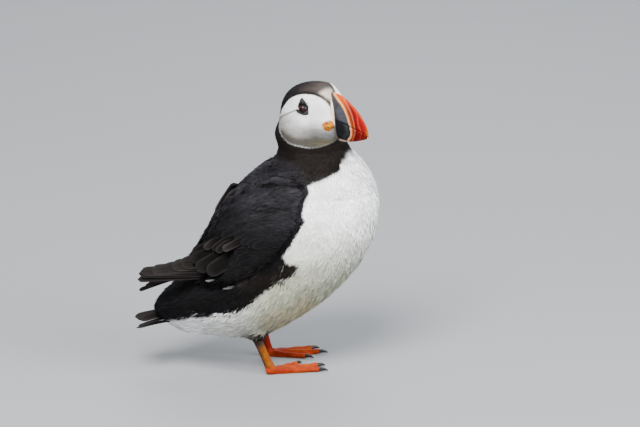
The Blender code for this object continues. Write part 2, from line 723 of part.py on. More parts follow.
def main():
    clear_scene()
    shown = new_collection("puffin")
    cutters = new_collection("cutters", shown=False)

    trunk = body_loft("trunk", TRUNK_FROM, TRUNK_TO, shown, "white_plumage")
    trunk_skin = body_loft("trunk_skin", TRUNK_FROM, TRUNK_TO + 1, cutters, grow=GAP * 1.4)
    trunk_over = body_loft("trunk_over", TRUNK_FROM, TRUNK_TO + 1, cutters, grow=WING_THICK)
    neck = body_loft("neck", TRUNK_TO, NECK_TO, shown, "black_plumage", inset=GAP)
    head = head_loft("head", shown, "grey_face")
    head_skin = head_loft("head_skin", cutters, grow=GAP * 1.4)
    head_over = head_loft("head_over", cutters, grow=ORNAMENT_PROUD + GAP)
    cut(neck, head_skin)

    rim = bill_rim("bill_rim", shown, "cream_horn")
    cut(rim, head_skin)
    split_bill(True, shown, cutters)
    split_bill(False, shown, cutters)

    for side, sign in (("right", -1), ("left", 1)):
        depth = head_half_width(*EYE) - EYE_SUNK
        centre = in_head(EYE[0], sign * depth, EYE[1])
        ball(f"eye_{side}", centre, (EYE_RADIUS,) * 3, shown, "eye")
        socket = ball(f"socket_{side}", centre, (EYE_RADIUS + GAP,) * 3, cutters)
        cut(head, socket)
        f, u = EYE
        upper = face_prism(
            f"above_eye_{side}",
            [(f - 3.2, u + 1.0), (f - 1.4, u + 7.0), (f - 0.4, u + 7.4), (f + 3.2, u + 1.0)],
            sign, cutters,
        )
        lower = face_prism(
            f"below_eye_{side}",
            [(f - 4.6, u - 2.9), (f - 4.2, u - 1.8), (f + 4.6, u - 2.8), (f + 4.4, u - 4.6), (f, u - 4.9)],
            sign, cutters,
        )
        for name, prism in (("upper", upper), ("lower", lower)):
            piece = prism.data.copy()
            plate = bpy.data.objects.new(f"eye_{name}_ornament_{side}", piece)
            piece.materials.append(material("ornament"))
            shown.objects.link(plate)
            boolean(plate, head_over, "INTERSECT")
            cut(plate, head_skin, socket)
            keep_largest_shell(plate.data)
        gape = ball(f"gape_{side}", in_head(-4.0, sign * 9.4, -4.2), (4.4, 3.4, 4.6), shown, "gape_skin", 12, 8)
        cut(gape, head_skin, grown_copy(rim, GAP, cutters))
        keep_largest_shell(gape.data)

    for side, sign in (("right", -1), ("left", 1)):
        folded_wing(side, trunk_skin, trunk_over, shown, cutters)
        over = body_loft(f"over_{side}", TRUNK_FROM, TRUNK_TO + 1, cutters, grow=WING_THICK + GAP * 1.4)
        primaries = blade(f"wing_{side}_primaries", *PRIMARIES[side], sign,
                          PRIMARY_BREADTH, PRIMARY_THICK, shown, "brown_black_plumage")
        tertials = blade(f"wing_{side}_tertials", *TERTIALS[side], sign,
                         TERTIAL_BREADTH, TERTIAL_THICK, shown, "brown_black_plumage", lean=0.5)
        cut(primaries, over)
        cut(tertials, over, grown_copy(primaries, GAP, cutters))
        keep_largest_shell(primaries.data)
        keep_largest_shell(tertials.data)
    tail = tail_fan(shown, "black_plumage")
    cut(tail, trunk_skin)

    for side in ("right", "left"):
        webbed_foot(side, shown, cutters)
        leg(side, trunk_skin, shown, cutters)

    bpy.context.view_layer.update()
    stand_on_origin(list(shown.objects))


main()
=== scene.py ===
"""The looks of the Atlantic puffin: one skin, a coat of modelled feathers, and horny parts.

Every length is worked out in millimetres, in the CAD's own working frame, and moved and
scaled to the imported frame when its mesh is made.
"""

import math

import bmesh
import bpy
import numpy as np
from mathutils import Matrix, Vector
from mathutils.bvhtree import BVHTree


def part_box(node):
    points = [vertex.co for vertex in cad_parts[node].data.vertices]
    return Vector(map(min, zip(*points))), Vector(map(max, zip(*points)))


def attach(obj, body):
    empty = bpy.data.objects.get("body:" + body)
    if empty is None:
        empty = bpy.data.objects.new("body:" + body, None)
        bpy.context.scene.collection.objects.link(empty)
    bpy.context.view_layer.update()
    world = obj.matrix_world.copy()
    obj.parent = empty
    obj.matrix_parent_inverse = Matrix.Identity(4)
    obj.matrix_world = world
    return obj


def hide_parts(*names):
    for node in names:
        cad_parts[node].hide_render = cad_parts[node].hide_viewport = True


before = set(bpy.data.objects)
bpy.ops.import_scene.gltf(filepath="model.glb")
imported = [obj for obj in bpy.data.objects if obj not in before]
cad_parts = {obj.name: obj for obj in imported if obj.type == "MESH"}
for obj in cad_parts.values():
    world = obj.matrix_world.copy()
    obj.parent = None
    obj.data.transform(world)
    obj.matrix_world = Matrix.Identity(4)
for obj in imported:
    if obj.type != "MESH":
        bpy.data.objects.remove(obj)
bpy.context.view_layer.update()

MM = 0.001
RNG = np.random.default_rng(7)

# ---------------------------------------------------------------- frames

HEAD_YAW = math.radians(-47.0)
EYE_F, EYE_U, EYE_RADIUS = -18.9, 8.4, 3.5
GAPE_HERE = np.array((50.3, -19.6, 185.0))  # the head's origin in the working frame


def box_middle(node):
    low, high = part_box(node)
    return (np.array(low) + np.array(high)) / 2 / MM


def head_axes():
    c, s = math.cos(HEAD_YAW), math.sin(HEAD_YAW)
    return np.array((c, s, 0.0)), np.array((-s, c, 0.0)), np.array((0.0, 0.0, 1.0))


F_AXIS, L_AXIS, U_AXIS = head_axes()
EYES = {side: box_middle(f"eye_{side}") for side in ("right", "left")}
GAPE_ROW = (EYES["right"] + EYES["left"]) / 2 - F_AXIS * EYE_F - U_AXIS * EYE_U
SHIFT = GAPE_ROW - GAPE_HERE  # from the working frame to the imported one


def row(points):
    """Working millimetres to packed metres."""
    return (np.asarray(points, float) + SHIFT) * MM


def in_head(f, l, u):
    f, l, u = (np.asarray(v, float)[..., None] for v in np.broadcast_arrays(f, l, u))
    return GAPE_HERE + F_AXIS * f + L_AXIS * l + U_AXIS * u


def to_head(points):
    away = np.asarray(points, float) - GAPE_HERE
    return away @ F_AXIS, away @ L_AXIS, away @ U_AXIS


# ---------------------------------------------------------------- numbers


def unit(v):
    return v / np.maximum(np.linalg.norm(v, axis=-1, keepdims=True), 1e-9)


def smooth(low, high, x):
    """0 below low, 1 above high, and a soft step between."""
    t = np.clip((np.asarray(x, float) - low) / (high - low), 0, 1)
    return t * t * (3 - 2 * t)


def between(a, b, t):
    return a * (1 - t) + b * t


def mix(a, b, t):
    """Between two colours or points, a share for each."""
    t = np.asarray(t, float)[..., None]
    return np.asarray(a, float) * (1 - t) + np.asarray(b, float) * t


def layered(colour, *layers):
    """A colour with others laid over it in turn, each given with its share."""
    for over, share in layers:
        colour = mix(colour, over, share)
    return colour


def hump(x, middle, width):
    """1 at the middle, and 0 further off than a few widths."""
    return np.exp(-((x - middle) / width) ** 2)


def stacked(*columns):
    """Points from their coordinates."""
    return np.stack(np.broadcast_arrays(*columns), -1)


def curve(rows, t):
    """Catmull-Rom through rows at place t."""
    rows = np.asarray(rows, float)
    t = np.clip(np.asarray(t, float), 0, len(rows) - 1.000001)
    i = t.astype(int)
    s = (t - i)[..., None]
    p, q, r, w = (rows[np.clip(i + k, 0, len(rows) - 1)] for k in (-1, 0, 1, 2))
    return 0.5 * (2 * q + (r - p) * s + (2 * p - 5 * q + 4 * r - w) * s * s
                  + (3 * q - p - 3 * r + w) * s * s * s)


def closed(corners, steps):
    corners = [corners[-1], *corners, corners[0], corners[1]]
    t = 1 + np.arange((len(corners) - 3) * steps) / steps
    return curve(corners, t)


def to_line(points, line):
    """Signed distance from 2-D points to an open line: positive on its left."""
    points, line = np.asarray(points, float), np.asarray(line, float)
    best = np.full(len(points), 1e9)
    sign = np.ones(len(points))
    for a, b in zip(line, line[1:]):
        ab, ap = b - a, points - a
        t = np.clip(ap @ ab / (ab @ ab), 0, 1)
        away = np.linalg.norm(ap - t[:, None] * ab, axis=1)
        cross = ab[0] * ap[:, 1] - ab[1] * ap[:, 0]
        near = away < best - 1e-6
        best = np.where(near, away, best)
        sign = np.where(near, np.where(cross >= 0, 1.0, -1.0), sign)
    return best * sign


def inside(points, loop):
    """Signed distance to a closed loop: positive inside."""
    points, loop = np.asarray(points, float), np.asarray(loop, float)
    away = np.abs(to_line(points, np.vstack([loop, loop[:1]])))
    odd = np.zeros(len(points), bool)
    x, y = points.T
    for (ax, ay), (bx, by) in zip(loop, np.roll(loop, -1, axis=0)):
        crosses = (ay > y) != (by > y)
        where = ax + (y - ay) * (bx - ax) / (by - ay if by != ay else 1e-9)
        odd ^= crosses & (x < where)
    return np.where(odd, away, -away)


def wobble(points, scale, seed=0):
    """Smooth noise from about -1 to 1, the same on every run."""
    p = np.asarray(points, float) / scale + seed * 7.31
    total = np.zeros(p.shape[:-1])
    for k, size in enumerate((1.0, 2.03, 3.97)):
        turn = np.array(((0.8, 0.36, -0.48), (0.0, 0.8, 0.6), (0.6, -0.48, 0.64))) * size
        q = p @ turn.T + k * 3.7
        total += (np.sin(q[..., 0] + 1.7 * np.sin(q[..., 1])) * np.cos(q[..., 2] + q[..., 1])) / size
    return total / 1.4


# ---------------------------------------------------------------- the lie and the markings

TURN_AT = np.array((-124.0, 176.0))  # the body's slices fan out from this (x, z)
SPINE_RADIUS = 160.0

# The black back ends on this line, as (x, z) seen from the side, from throat to tail. None of its corners
# is sharp, because to_line takes the wrong side of a sharp one.
BLACK_EDGE = (
    (80.0, 164.0), (62.0, 162.0), (55.0, 162.4), (52.0, 159.5), (50.0, 155.0), (46.5, 149.5),
    (38.0, 145.5), (29.5, 142.6), (24.2, 140.2), (25.6, 135.0), (20.6, 129.2), (19.2, 121.5),
    (22.0, 116.5), (18.5, 112.5), (14.0, 106.5), (8.0, 97.5), (5.5, 92.5), (9.0, 88.0),
    (16.0, 84.5), (16.5, 80.5), (11.0, 78.5), (2.0, 76.5), (-7.5, 70.5), (-14.5, 63.0),
    (-20.0, 57.0), (-26.0, 54.5), (-35.0, 51.5), (-45.0, 48.5), (-54.0, 51.0), (-58.0, 45.5),
    (-72.0, 38.0), (-110.0, 31.0),
)
WING_OUTLINE = (
    (22.5, 137.5), (19.5, 124.0), (14.5, 109.5), (5.5, 95.5), (-5.0, 86.0),
    (-19.0, 78.5), (-34.0, 71.5), (-51.0, 69.0), (-62.0, 75.0), (-57.0, 89.0),
    (-46.0, 104.0), (-32.0, 119.0), (-17.0, 132.5), (-1.0, 143.0), (13.0, 146.0),
)
WING_PIVOT, LEFT_TURN = np.array((-20.0, 105.0)), math.radians(7.0)
# Painted shadow lines in the folds between the feathers of the back and the shoulder, as (x, z).
FOLD_SHADOWS = (((-3, 140.2), (9, 141.4), (22, 140)), ((-8, 126.8), (3, 125.8), (12, 126.4)),
         ((-46, 108), (-35, 119), (-22, 130)))
MANTLE_WAY, FLANK_WAY = unit(np.array(((-1.0, 0.0, -0.85), (-0.62, 0.0, -0.78))))

BLACK = np.array((0.0034, 0.0033, 0.0040))
# paler than the black, with painted light from the sky
SKYLIT_MANTLE = np.array((0.0105, 0.0098, 0.0118))
COLLAR = np.array((0.0078, 0.0058, 0.0051))
WHITE = np.array((0.92, 0.92, 0.92))


def turned(flat, angle):
    """(x, z) turned about the wing's pivot."""
    c, s = math.cos(angle), math.sin(angle)
    dx, dz = (np.asarray(flat, float) - WING_PIVOT).T
    return WING_PIVOT + stacked(c * dx - s * dz, s * dx + c * dz)


def as_right_wing(points):
    """(x, z) with the left wing's points turned back onto the right wing's outline."""
    points = np.asarray(points, float)
    flat = points[:, (0, 2)]
    return np.where(points[:, 1:2] > 0, turned(flat, -LEFT_TURN), flat)


def hem(points):
    """1 on the dark joints where the legs leave the plumage."""
    x, y, z = np.asarray(points, float).T
    away = np.hypot(x - np.where(y < 0, -9.0, -1.5), np.abs(y) - 21.0)
    return smooth(12, 7, away) * smooth(35.5, 32.0, z + 0.8 * wobble(points, 3, 4))


def lie(points):
    """Which way feathers point: from the bill back over the head, down and to the tail."""
    p = np.asarray(points, float)
    x, y, z = p.T
    ahead, above = (p[:, (0, 2)] - TURN_AT).T
    body = stacked(above, 0 * x, -ahead * between(0.62, 1.0, smooth(80, 105, z)))
    body[:, 1] -= np.sign(y) * 14 * smooth(60, 20, z)
    body = unit(mix(unit(body), MANTLE_WAY, smooth(30, 10, x) * smooth(98, 108, z) * 0.8))
    flank = smooth(14, 2, x) * smooth(-42, -26, x) * smooth(94, 84, z) * smooth(48, 58, z)
    body = unit(mix(body, FLANK_WAY, flank * 0.85))
    f, l, u = to_head(p)
    drop = smooth(-26, -46, f) * 1.6 + smooth(4, -22, u) * 0.8 - smooth(8, 20, u) * smooth(-14, 0, f) * 0.7
    head = unit(-F_AXIS + L_AXIS * (np.sign(l) * 0.12)[:, None] - U_AXIS * drop[:, None])
    flow = mix(body, head, smooth(-32, -14, u))
    flat = as_right_wing(p)
    wing = inside(flat, WING_LOOP)
    back, height = flat.T
    high = smooth(92, 108, height)
    fall = 0.08 + 0.75 * smooth(18, -25, back) * high + 0.36 * (1 - high) * smooth(20, -8, back)
    on_wing = smooth(-1, 4, wing) * smooth(8, 16, np.abs(y)) * smooth(150, 142, z)
    return unit(mix(flow, unit(stacked(-1, 0, -fall)), on_wing))


WING_LOOP = closed(WING_OUTLINE, 3)
BILL_TOP, BILL_BOTTOM = 18.4, -15.8


def base_f(u):
    """How far forward the bill's base lies at each height."""
    share = np.clip((u - BILL_BOTTOM) / (BILL_TOP - BILL_BOTTOM), 0.0, 1.0)
    return 0.6 - 1.6 * share - 8.7 * share ** 5.4


# The pale patch on each side of the face, as (f, u).
CHEEK = closed((
    (-43.0, -2.0), (-40.5, 2.0), (-37.0, 7.0), (-32.8, 12.0), (-27.5, 15.4), (-21.5, 17.2),
    (-15.5, 17.4), (-10.5, 15.9), (-7.0, 13.6), (-4.4, 10.2), (-2.8, 6.0), (-1.7, 0.0),
    (-0.4, -7.0), (-0.4, -12.5), (-3.4, -17.2), (-9.5, -19.8), (-17.0, -19.4), (-25.5, -17.6),
    (-31.5, -14.6), (-37.0, -10.2), (-41.5, -6.2),
), 3)


def cheek(points):
    """Positive inside the pale face patch, in millimetres from its edge."""
    f, l, u = to_head(points)
    high = 8.0 * smooth(-26, -10, f) * smooth(0, 2, l)  # the left patch reaches further up the forehead
    edge = inside(stacked(f, u - high), CHEEK)
    ridge = l - 4.2 - 0.35 * np.maximum(0, -f - 9)
    return np.where(l < 0, np.where(l < -2.5, edge, -6.0), np.minimum(edge, ridge * 1.3))


def markings(points):
    """The bird's colours, as linear RGB, at working-frame points on its skin."""
    p = np.asarray(points, float)
    x, y, z = p.T
    side_on = p[:, (0, 2)]
    f, l, u = to_head(p)
    rag = wobble(p, 5.0) * 1.3 + wobble(p, 2.0, 3) * 0.6
    rag = rag * between(0.3, 1.0, smooth(104, 90, z) + smooth(142, 150, z))
    black = 0.6 - to_line(side_on, BLACK_EDGE)
    black = black + rag + wobble(p, 1.6, 9) * 1.6 * smooth(110, 80, z)
    # white underparts, greyer and greener towards the lower belly with painted shade and a painted greenish
    # reflection, and stained near the legs
    low = smooth(132, 62, z) * smooth(-45, 5, x)
    stain = np.exp(-((x - 22) ** 2 + (z - 34) ** 2) / 420)
    white = layered(WHITE, ((0.22, 0.23, 0.135), low * 0.85),
                    ((0.46, 0.24, 0.09), stain * 0.75 * smooth(-0.8, 0.6, wobble(p, 6, 5))))
    streak = smooth(0.15, 1.0, wobble(p * (0.45, 1, 1), 3.0, 2)) * smooth(90, 50, z)
    white = mix(white, white * (0.74, 0.72, 0.64), streak * 0.6)
    # black upperparts: paler on the mantle and higher up with painted light from the sky, brown at the
    # collar, painted highlights and shade in soft strokes, painted shadow in the folds, and a dusky flank
    dark = mix(BLACK, SKYLIT_MANTLE * 1.25, smooth(98, 126, z)) * between(1.0, 1.5, smooth(124, 140, z))[:, None]
    dark = mix(dark, COLLAR, smooth(132, 150, z) * smooth(5, 30, x))
    # painted highlights and shade in long soft strokes along the feathers
    strokes = stacked(x * 0.32 + z * 0.2, y * 0.5, z - 0.45 * x)
    dark = dark * (1 + 0.3 * wobble(p, 8, 1) + 0.45 * wobble(strokes, 3.4, 15))[:, None]
    # painted shadow along the folds
    shoulder, upper, rear = (np.abs(to_line(side_on, line)) for line in FOLD_SHADOWS)
    folds = np.minimum(np.minimum(shoulder, upper), rear + 9.0 * (y > 0))
    dark = dark * between(0.2, 1.0, smooth(0.3, 1.8, folds))[:, None]
    grey = smooth(0.2, 1.1, wobble(p * (1, 0.5, 0.5), 2.6, 19))
    dusky = mix((0.0062, 0.0048, 0.0040), (0.032, 0.027, 0.024), grey)
    dark = mix(dark, dusky, smooth(92, 84, z) * smooth(-32, -8, x) * 0.85)
    colour = layered(white, (dark, smooth(-0.7, 0.7, black)), ((0.014, 0.010, 0.008), hem(p)))
    # crown and nape: brown-grey in front, black behind and at its edges, pale at the forehead
    edge = cheek(p)
    crown = layered((0.046, 0.036, 0.032), ((0.0075, 0.0070, 0.0080), smooth(-12, -34, f)),
                    ((0.008, 0.007, 0.007), smooth(-3.5, -0.8, edge) * 0.85))
    crown = crown * (1 + 0.3 * wobble(p * (1, 1, 0.7), 3.0, 4))[:, None]
    beside = np.maximum(smooth(3, -1, l), smooth(5, 8, l))
    lore = smooth(4.0, -0.4, base_f(u) - f + 0.3 * wobble(p, 2, 5)) ** 1.6
    lore = lore * smooth(6, 15, u) * smooth(23, 18.5, u) * beside
    crown = layered(crown, ((0.066, 0.061, 0.060), smooth(-21, -7.0, f) * smooth(9, 17, u) * beside * 0.8),
                    ((0.56, 0.47, 0.41), lore * 0.9), (COLLAR, smooth(-10, -22, u)))
    headed = smooth(-34, -28, u)
    colour = mix(colour, crown, headed * smooth(-3, 3, black + 4))
    # face: white above, grey below where its own grey is deepened by painted shade from above, with a fine
    # white rim and painted shade in the crease behind the eye
    inner = edge + wobble(p, 2.0, 8) * 0.12
    level = u + 0.12 * (f + 22) + 1.6 * wobble(p, 9, 6)
    level = level + 1.5 * wobble(p, 3.6, 16) * smooth(4, -6, u)
    level = level + 3.0 * hump(f, -20, 7) * smooth(-16, -11, u) - 2.0 * hump(f, -35, 7)
    face = layered((0.80, 0.79, 0.80), ((0.22, 0.21, 0.20), smooth(4.5, -8.0, level)),
                   ((0.040, 0.037, 0.030), smooth(-7.0, -14.5, level) * 0.9),
                   ((0.52, 0.50, 0.53), smooth(-22, -32, f) * smooth(4, 9, u) * 0.5))
    face = face * (1 + 0.06 * wobble(p, 4, 6))[:, None]
    rim = smooth(0.6, 0.2, inner) * (0.75 - 0.6 * smooth(-20, -8, f) * smooth(-8, -14, u))
    # painted shade in the groove of the crease
    crease = smooth(1.0, 0.2, np.abs(u - 6.5 - 0.47 * (f + 23.2)))
    crease = crease * smooth(EYE_F - 3.0, EYE_F - 4.2, f) * smooth(-48, -38, f)
    face = layered(face, ((0.125, 0.13, 0.15), np.exp(-((f + 4.5) ** 2 / 16 + (u + 11.0) ** 2 / 7)) * 0.75),
                   ((0.10, 0.085, 0.05), np.exp(-((f + 5.0) ** 2 / 40 + (u + 16.5) ** 2 / 9)) * 0.7),
                   ((0.80, 0.68, 0.58), smooth(-6, -2.5, f) * smooth(0, 8, u) * 0.6),
                   ((0.66, 0.65, 0.63), rim), ((0.07, 0.065, 0.062), crease * 0.85))
    colour = layered(colour, (face, smooth(-0.25, 0.25, inner) * headed),
                     ((0.008, 0.007, 0.007), hump(edge, -0.75, 0.55) * headed * 0.85))
    return np.clip(colour, 0.003, 1)


# ---------------------------------------------------------------- meshes and materials

BUMP_DEPTH = 0.0003  # in metres


def placed(name, data):
    """A new object in the scene."""
    obj = bpy.data.objects.new(name, data)
    bpy.context.scene.collection.objects.link(obj)
    return obj


def plug(socket, value):
    """A number set on a socket, or a link made to it."""
    if isinstance(value, bpy.types.NodeSocket):
        socket.id_data.links.new(value, socket)
    elif value is not None:
        socket.default_value = value


def nodes_of(name, rough, base=(0.5, 0.5, 0.5), **sockets):
    """A new material, its shader and its node maker."""
    made = bpy.data.materials.new(name)
    made.use_nodes = True
    made.diffuse_color = (*base, 1)
    shader = made.node_tree.nodes["Principled BSDF"]
    shader.inputs["Base Color"].default_value = (*base, 1)
    shader.inputs["Roughness"].default_value = rough
    for key, value in sockets.items():
        shader.inputs[key.replace("_", " ")].default_value = value

    def node(kind, **settings):
        new = made.node_tree.nodes.new("ShaderNode" + kind)
        for key, value in settings.items():
            if key in new.inputs:
                plug(new.inputs[key], value)
            else:
                setattr(new, key, value)
        return new

    return made, shader, node


def math_node(node, operation, a, b=None):
    new = node("Math", operation=operation)
    plug(new.inputs[0], a)
    plug(new.inputs[1], b)
    return new.outputs[0]


def mixed_colour(node, kind, factor, a, b):
    new = node("Mix", data_type="RGBA", blend_type=kind)
    for i, value in ((0, factor), (6, a), (7, b)):
        plug(new.inputs[i], (*value, 1) if isinstance(value, tuple) else value)
    return new.outputs[2]


def ramp(node, value, *ends):
    """A soft step: from low and high, and to low and high where they aren't 0 and 1."""
    new = node("MapRange", interpolation_type="SMOOTHSTEP")
    for i, number in enumerate((value, *ends)):
        plug(new.inputs[i], number)
    return new.outputs[0]


def noise(node, vector, scale, detail):
    return node("TexNoise", Vector=vector, Scale=scale, Detail=detail).outputs[0]


def shaded_tint(node, *noises):
    """The painted tint times two noises, each given with its lowest and highest factor."""
    factors = [ramp(node, value, 0.3, 0.7, low, high) for value, low, high in noises]
    shade = math_node(node, "MULTIPLY", *factors)
    grey = node("CombineColor", Red=shade, Green=shade, Blue=shade).outputs[0]
    tint = node("Attribute", attribute_name="tint").outputs["Color"]
    return mixed_colour(node, "MULTIPLY", 1.0, tint, grey)


def bumped(node, shader, strength, height):
    bump = node("Bump", Strength=strength, Distance=BUMP_DEPTH, Height=height)
    plug(shader.inputs["Normal"], bump.outputs[0])


def plumage_material(name, rough, streak, bump, specular=0.3, sheen=0.0, edge=0.0):
    """Feathers: the tint painted on each, with barbs along the vane and a worn edge."""
    made, shader, node = nodes_of(name, rough, Sheen_Weight=sheen, Sheen_Roughness=0.45,
                                  Specular_IOR_Level=specular)
    vane = node("UVMap", uv_map="Vane").outputs[0]
    barbs = noise(node, node("Mapping", Vector=vane, Scale=(16.0, 2.2, 1.0)).outputs[0], 1.0, 2.0)
    blotch = noise(node, node("TexCoord").outputs["Object"], 90.0, 3.0)
    colour = shaded_tint(node, (barbs, 1 - streak, 1 + streak * 0.5), (blotch, 0.88, 1.1))
    if edge:
        along, down, _ = node("SeparateXYZ", Vector=vane).outputs
        across = math_node(node, "SUBTRACT", math_node(node, "FRACT", along), 0.5)
        across = math_node(node, "ABSOLUTE", across)
        rim = math_node(node, "MAXIMUM", ramp(node, across, 0.30, 0.48), ramp(node, down, 0.80, 0.99))
        for kind, where, share, tone in (("ADD", rim, edge, (0.055, 0.050, 0.050)),
                                         ("MIX", ramp(node, across, 0.045, 0.0), 0.5, (0.004, 0.004, 0.004))):
            colour = mixed_colour(node, kind, math_node(node, "MULTIPLY", where, share), colour, tone)
    plug(shader.inputs["Base Color"], colour)
    bumped(node, shader, bump, barbs)
    return made


def build(name, verts, faces, mat, tint, slot, stands=(), vane=None, bake=None, normals=None):
    """One piece: verts in working millimetres, and faces as one array of corner rows or several."""
    mesh = bpy.data.meshes.new(name)
    verts = row(verts)
    faces = [np.asarray(part) for part in (faces if isinstance(faces, list) else [faces])]
    corners = np.concatenate([part.ravel() for part in faces]).astype(np.int32)
    sizes = np.concatenate([np.full(len(part), part.shape[1]) for part in faces]).astype(np.int32)
    starts = np.concatenate([[0], np.cumsum(sizes)[:-1]]).astype(np.int32)
    for things, key, values in ((mesh.vertices, "co", verts.astype(np.float32)),
                                (mesh.loops, "vertex_index", corners), (mesh.polygons, "loop_start", starts)):
        things.add(len(values))
        things.foreach_set(key, values.ravel())
    mesh.polygons.foreach_set("loop_total", sizes)
    mesh.update(calc_edges=True)
    mesh.validate()
    layer = mesh.color_attributes.new("tint", "FLOAT_COLOR", "POINT")
    layer.data.foreach_set("color", np.c_[tint, np.ones(len(tint))].astype(np.float32).ravel())
    for title, values in (("OFBake", bake), ("Vane", vane)):
        if values is not None:
            layer = mesh.uv_layers.new(name=title)
            layer.data.foreach_set("uv", np.asarray(values)[corners].astype(np.float32).ravel())
    mesh.shade_smooth()
    if normals is not None:
        mesh.normals_split_custom_set_from_vertices(unit(normals).astype(np.float32))
    mesh.materials.append(mat)
    piece = placed(name, mesh)
    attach(piece, "root")
    if stands:
        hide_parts(*stands)
    return piece


def grid_faces(rows, columns, wrap=False, ring=False):
    """Quads of a grid of points, row by row: wrap joins its first and last columns, and ring its rows."""
    r, c = np.meshgrid(np.arange(rows - (not ring)), np.arange(columns - (not wrap)), indexing="ij")
    a, b = r * columns + c, r * columns + (c + 1) % columns
    return stacked(a, b, b + columns, a + columns).reshape(-1, 4) % (rows * columns)


# ---------------------------------------------------------------- skin

FLESH = ("trunk", "neck", "head", "thigh_right", "thigh_left", "wing_right_coverts", "wing_left_coverts")


def remeshed(names, voxel):
    """One closed mesh round all of these CAD bodies, with cells of voxel millimetres."""
    work = bmesh.new()
    for name in names:
        work.from_mesh(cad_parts[name].data)
    joined = bpy.data.meshes.new("joined")
    work.to_mesh(joined)
    work.free()
    obj = placed("joined", joined)
    remesh = obj.modifiers.new("Remesh", "REMESH")
    remesh.mode, remesh.voxel_size = "VOXEL", voxel * MM
    bpy.context.view_layer.update()
    mesh = bpy.data.meshes.new_from_object(obj.evaluated_get(bpy.context.evaluated_depsgraph_get()))
    bpy.data.objects.remove(obj)
    return mesh


def widest_shell(mesh):
    """The mesh without the small shells that lie inside it."""
    work = bmesh.new()
    work.from_mesh(mesh)
    unseen, shells = set(work.verts), []
    while unseen:
        shell, queue = [], [unseen.pop()]
        while queue:
            vert = queue.pop()
            shell.append(vert)
            near = {edge.other_vert(vert) for edge in vert.link_edges} & unseen
            unseen -= near
            queue.extend(near)
        shells.append(shell)
    shells.sort(key=len)
    bmesh.ops.delete(work, geom=[v for shell in shells[:-1] for v in shell], context="VERTS")
    work.to_mesh(mesh)
    work.free()
    return mesh


def arrays(mesh):
    """A mesh's vertices in working millimetres, and the corners of its faces."""
    verts = np.empty(len(mesh.vertices) * 3, np.float32)
    mesh.vertices.foreach_get("co", verts)
    return verts.reshape(-1, 3) / MM - SHIFT, [tuple(face.vertices) for face in mesh.polygons]


def relaxed(verts, faces, times, share=0.5):
    """Each point moves towards the mean of its neighbours."""
    a = np.concatenate([faces[:, (0, 1)], faces[:, (1, 2)], faces[:, (2, 3)], faces[:, (3, 0)]])
    a = np.concatenate([a, a[:, ::-1]])
    count = np.bincount(a[:, 0], minlength=len(verts))[:, None]
    for _ in range(times):
        total = np.stack([np.bincount(a[:, 0], verts[a[:, 1], k], len(verts)) for k in range(3)], 1)
        verts = verts + (total / count - verts) * share
    return verts


def quad_normals(verts, faces):
    a, b, c, d = (verts[faces[:, k]] for k in range(4))
    face = np.cross(c - a, d - b)
    total = np.zeros_like(verts)
    for k in range(4):
        np.add.at(total, faces[:, k], face)
    return unit(total)


def coat_depth(points):
    """How far the skin lies under the CAD's surface."""
    y, z = points[:, 1], points[:, 2]
    depth = between(2.6, 0.9, smooth(-34, -16, to_head(points)[2]))
    wing = smooth(0, 6, inside(as_right_wing(points), WING_LOOP)) * smooth(8, 16, np.abs(y))
    depth = between(depth, 2.0, wing * smooth(150, 140, z))
    return np.where(z < 30, np.minimum(depth, 1.6), depth)


def sunk(points):
    """Where the skin gives way further: at the bill's root, on the far brow and under the tail."""
    f, l, u = to_head(points)
    root = 1.6 * np.exp(-((f + 6.0) / 4) ** 2 - (l / 5) ** 2 - ((u - 19.0) / 4) ** 2)
    brow = 2.8 * np.exp(-((f + 8.0) / 6) ** 2 - ((l - 9) / 5) ** 2) * smooth(11, 17, u)
    under = 2.6 * smooth(-18, -42, points[:, 0]) * smooth(46, 36, points[:, 2])
    return root + brow + under


skin_verts, skin_faces = map(np.array, arrays(widest_shell(remeshed(FLESH, 1.3))))
skin_verts = relaxed(skin_verts, skin_faces, 10)
skin_normals = quad_normals(skin_verts, skin_faces)
if np.mean(np.einsum("ij,ij->i", skin_normals, skin_verts - skin_verts.mean(0))) < 0:
    skin_normals = -skin_normals
skin_verts = skin_verts - skin_normals * (coat_depth(skin_verts) + sunk(skin_verts))[:, None]
skin_verts = relaxed(skin_verts, skin_faces, 4)
skin_normals = unit(relaxed(quad_normals(skin_verts, skin_faces), skin_faces, 3))
SKIN = BVHTree.FromPolygons(skin_verts.tolist(), skin_faces.tolist())
print("skin", len(skin_verts), "points")

# ---------------------------------------------------------------- feathers


def on_skin(points):
    """The nearest places of the skin to these points, and its normals there."""
    flat = points.reshape(-1, 3)
    places, faces = np.empty_like(flat), np.empty(len(flat), int)
    for i, point in enumerate(flat.tolist()):
        place, _, faces[i], _ = SKIN.find_nearest(point)
        places[i] = place
    normals = unit(skin_normals[skin_faces[faces]].mean(1))
    return places.reshape(points.shape), normals.reshape(points.shape)


TRIES = 4.5  # per square as wide as the spacing
TRACK_STEPS = 8  # in a vane's track


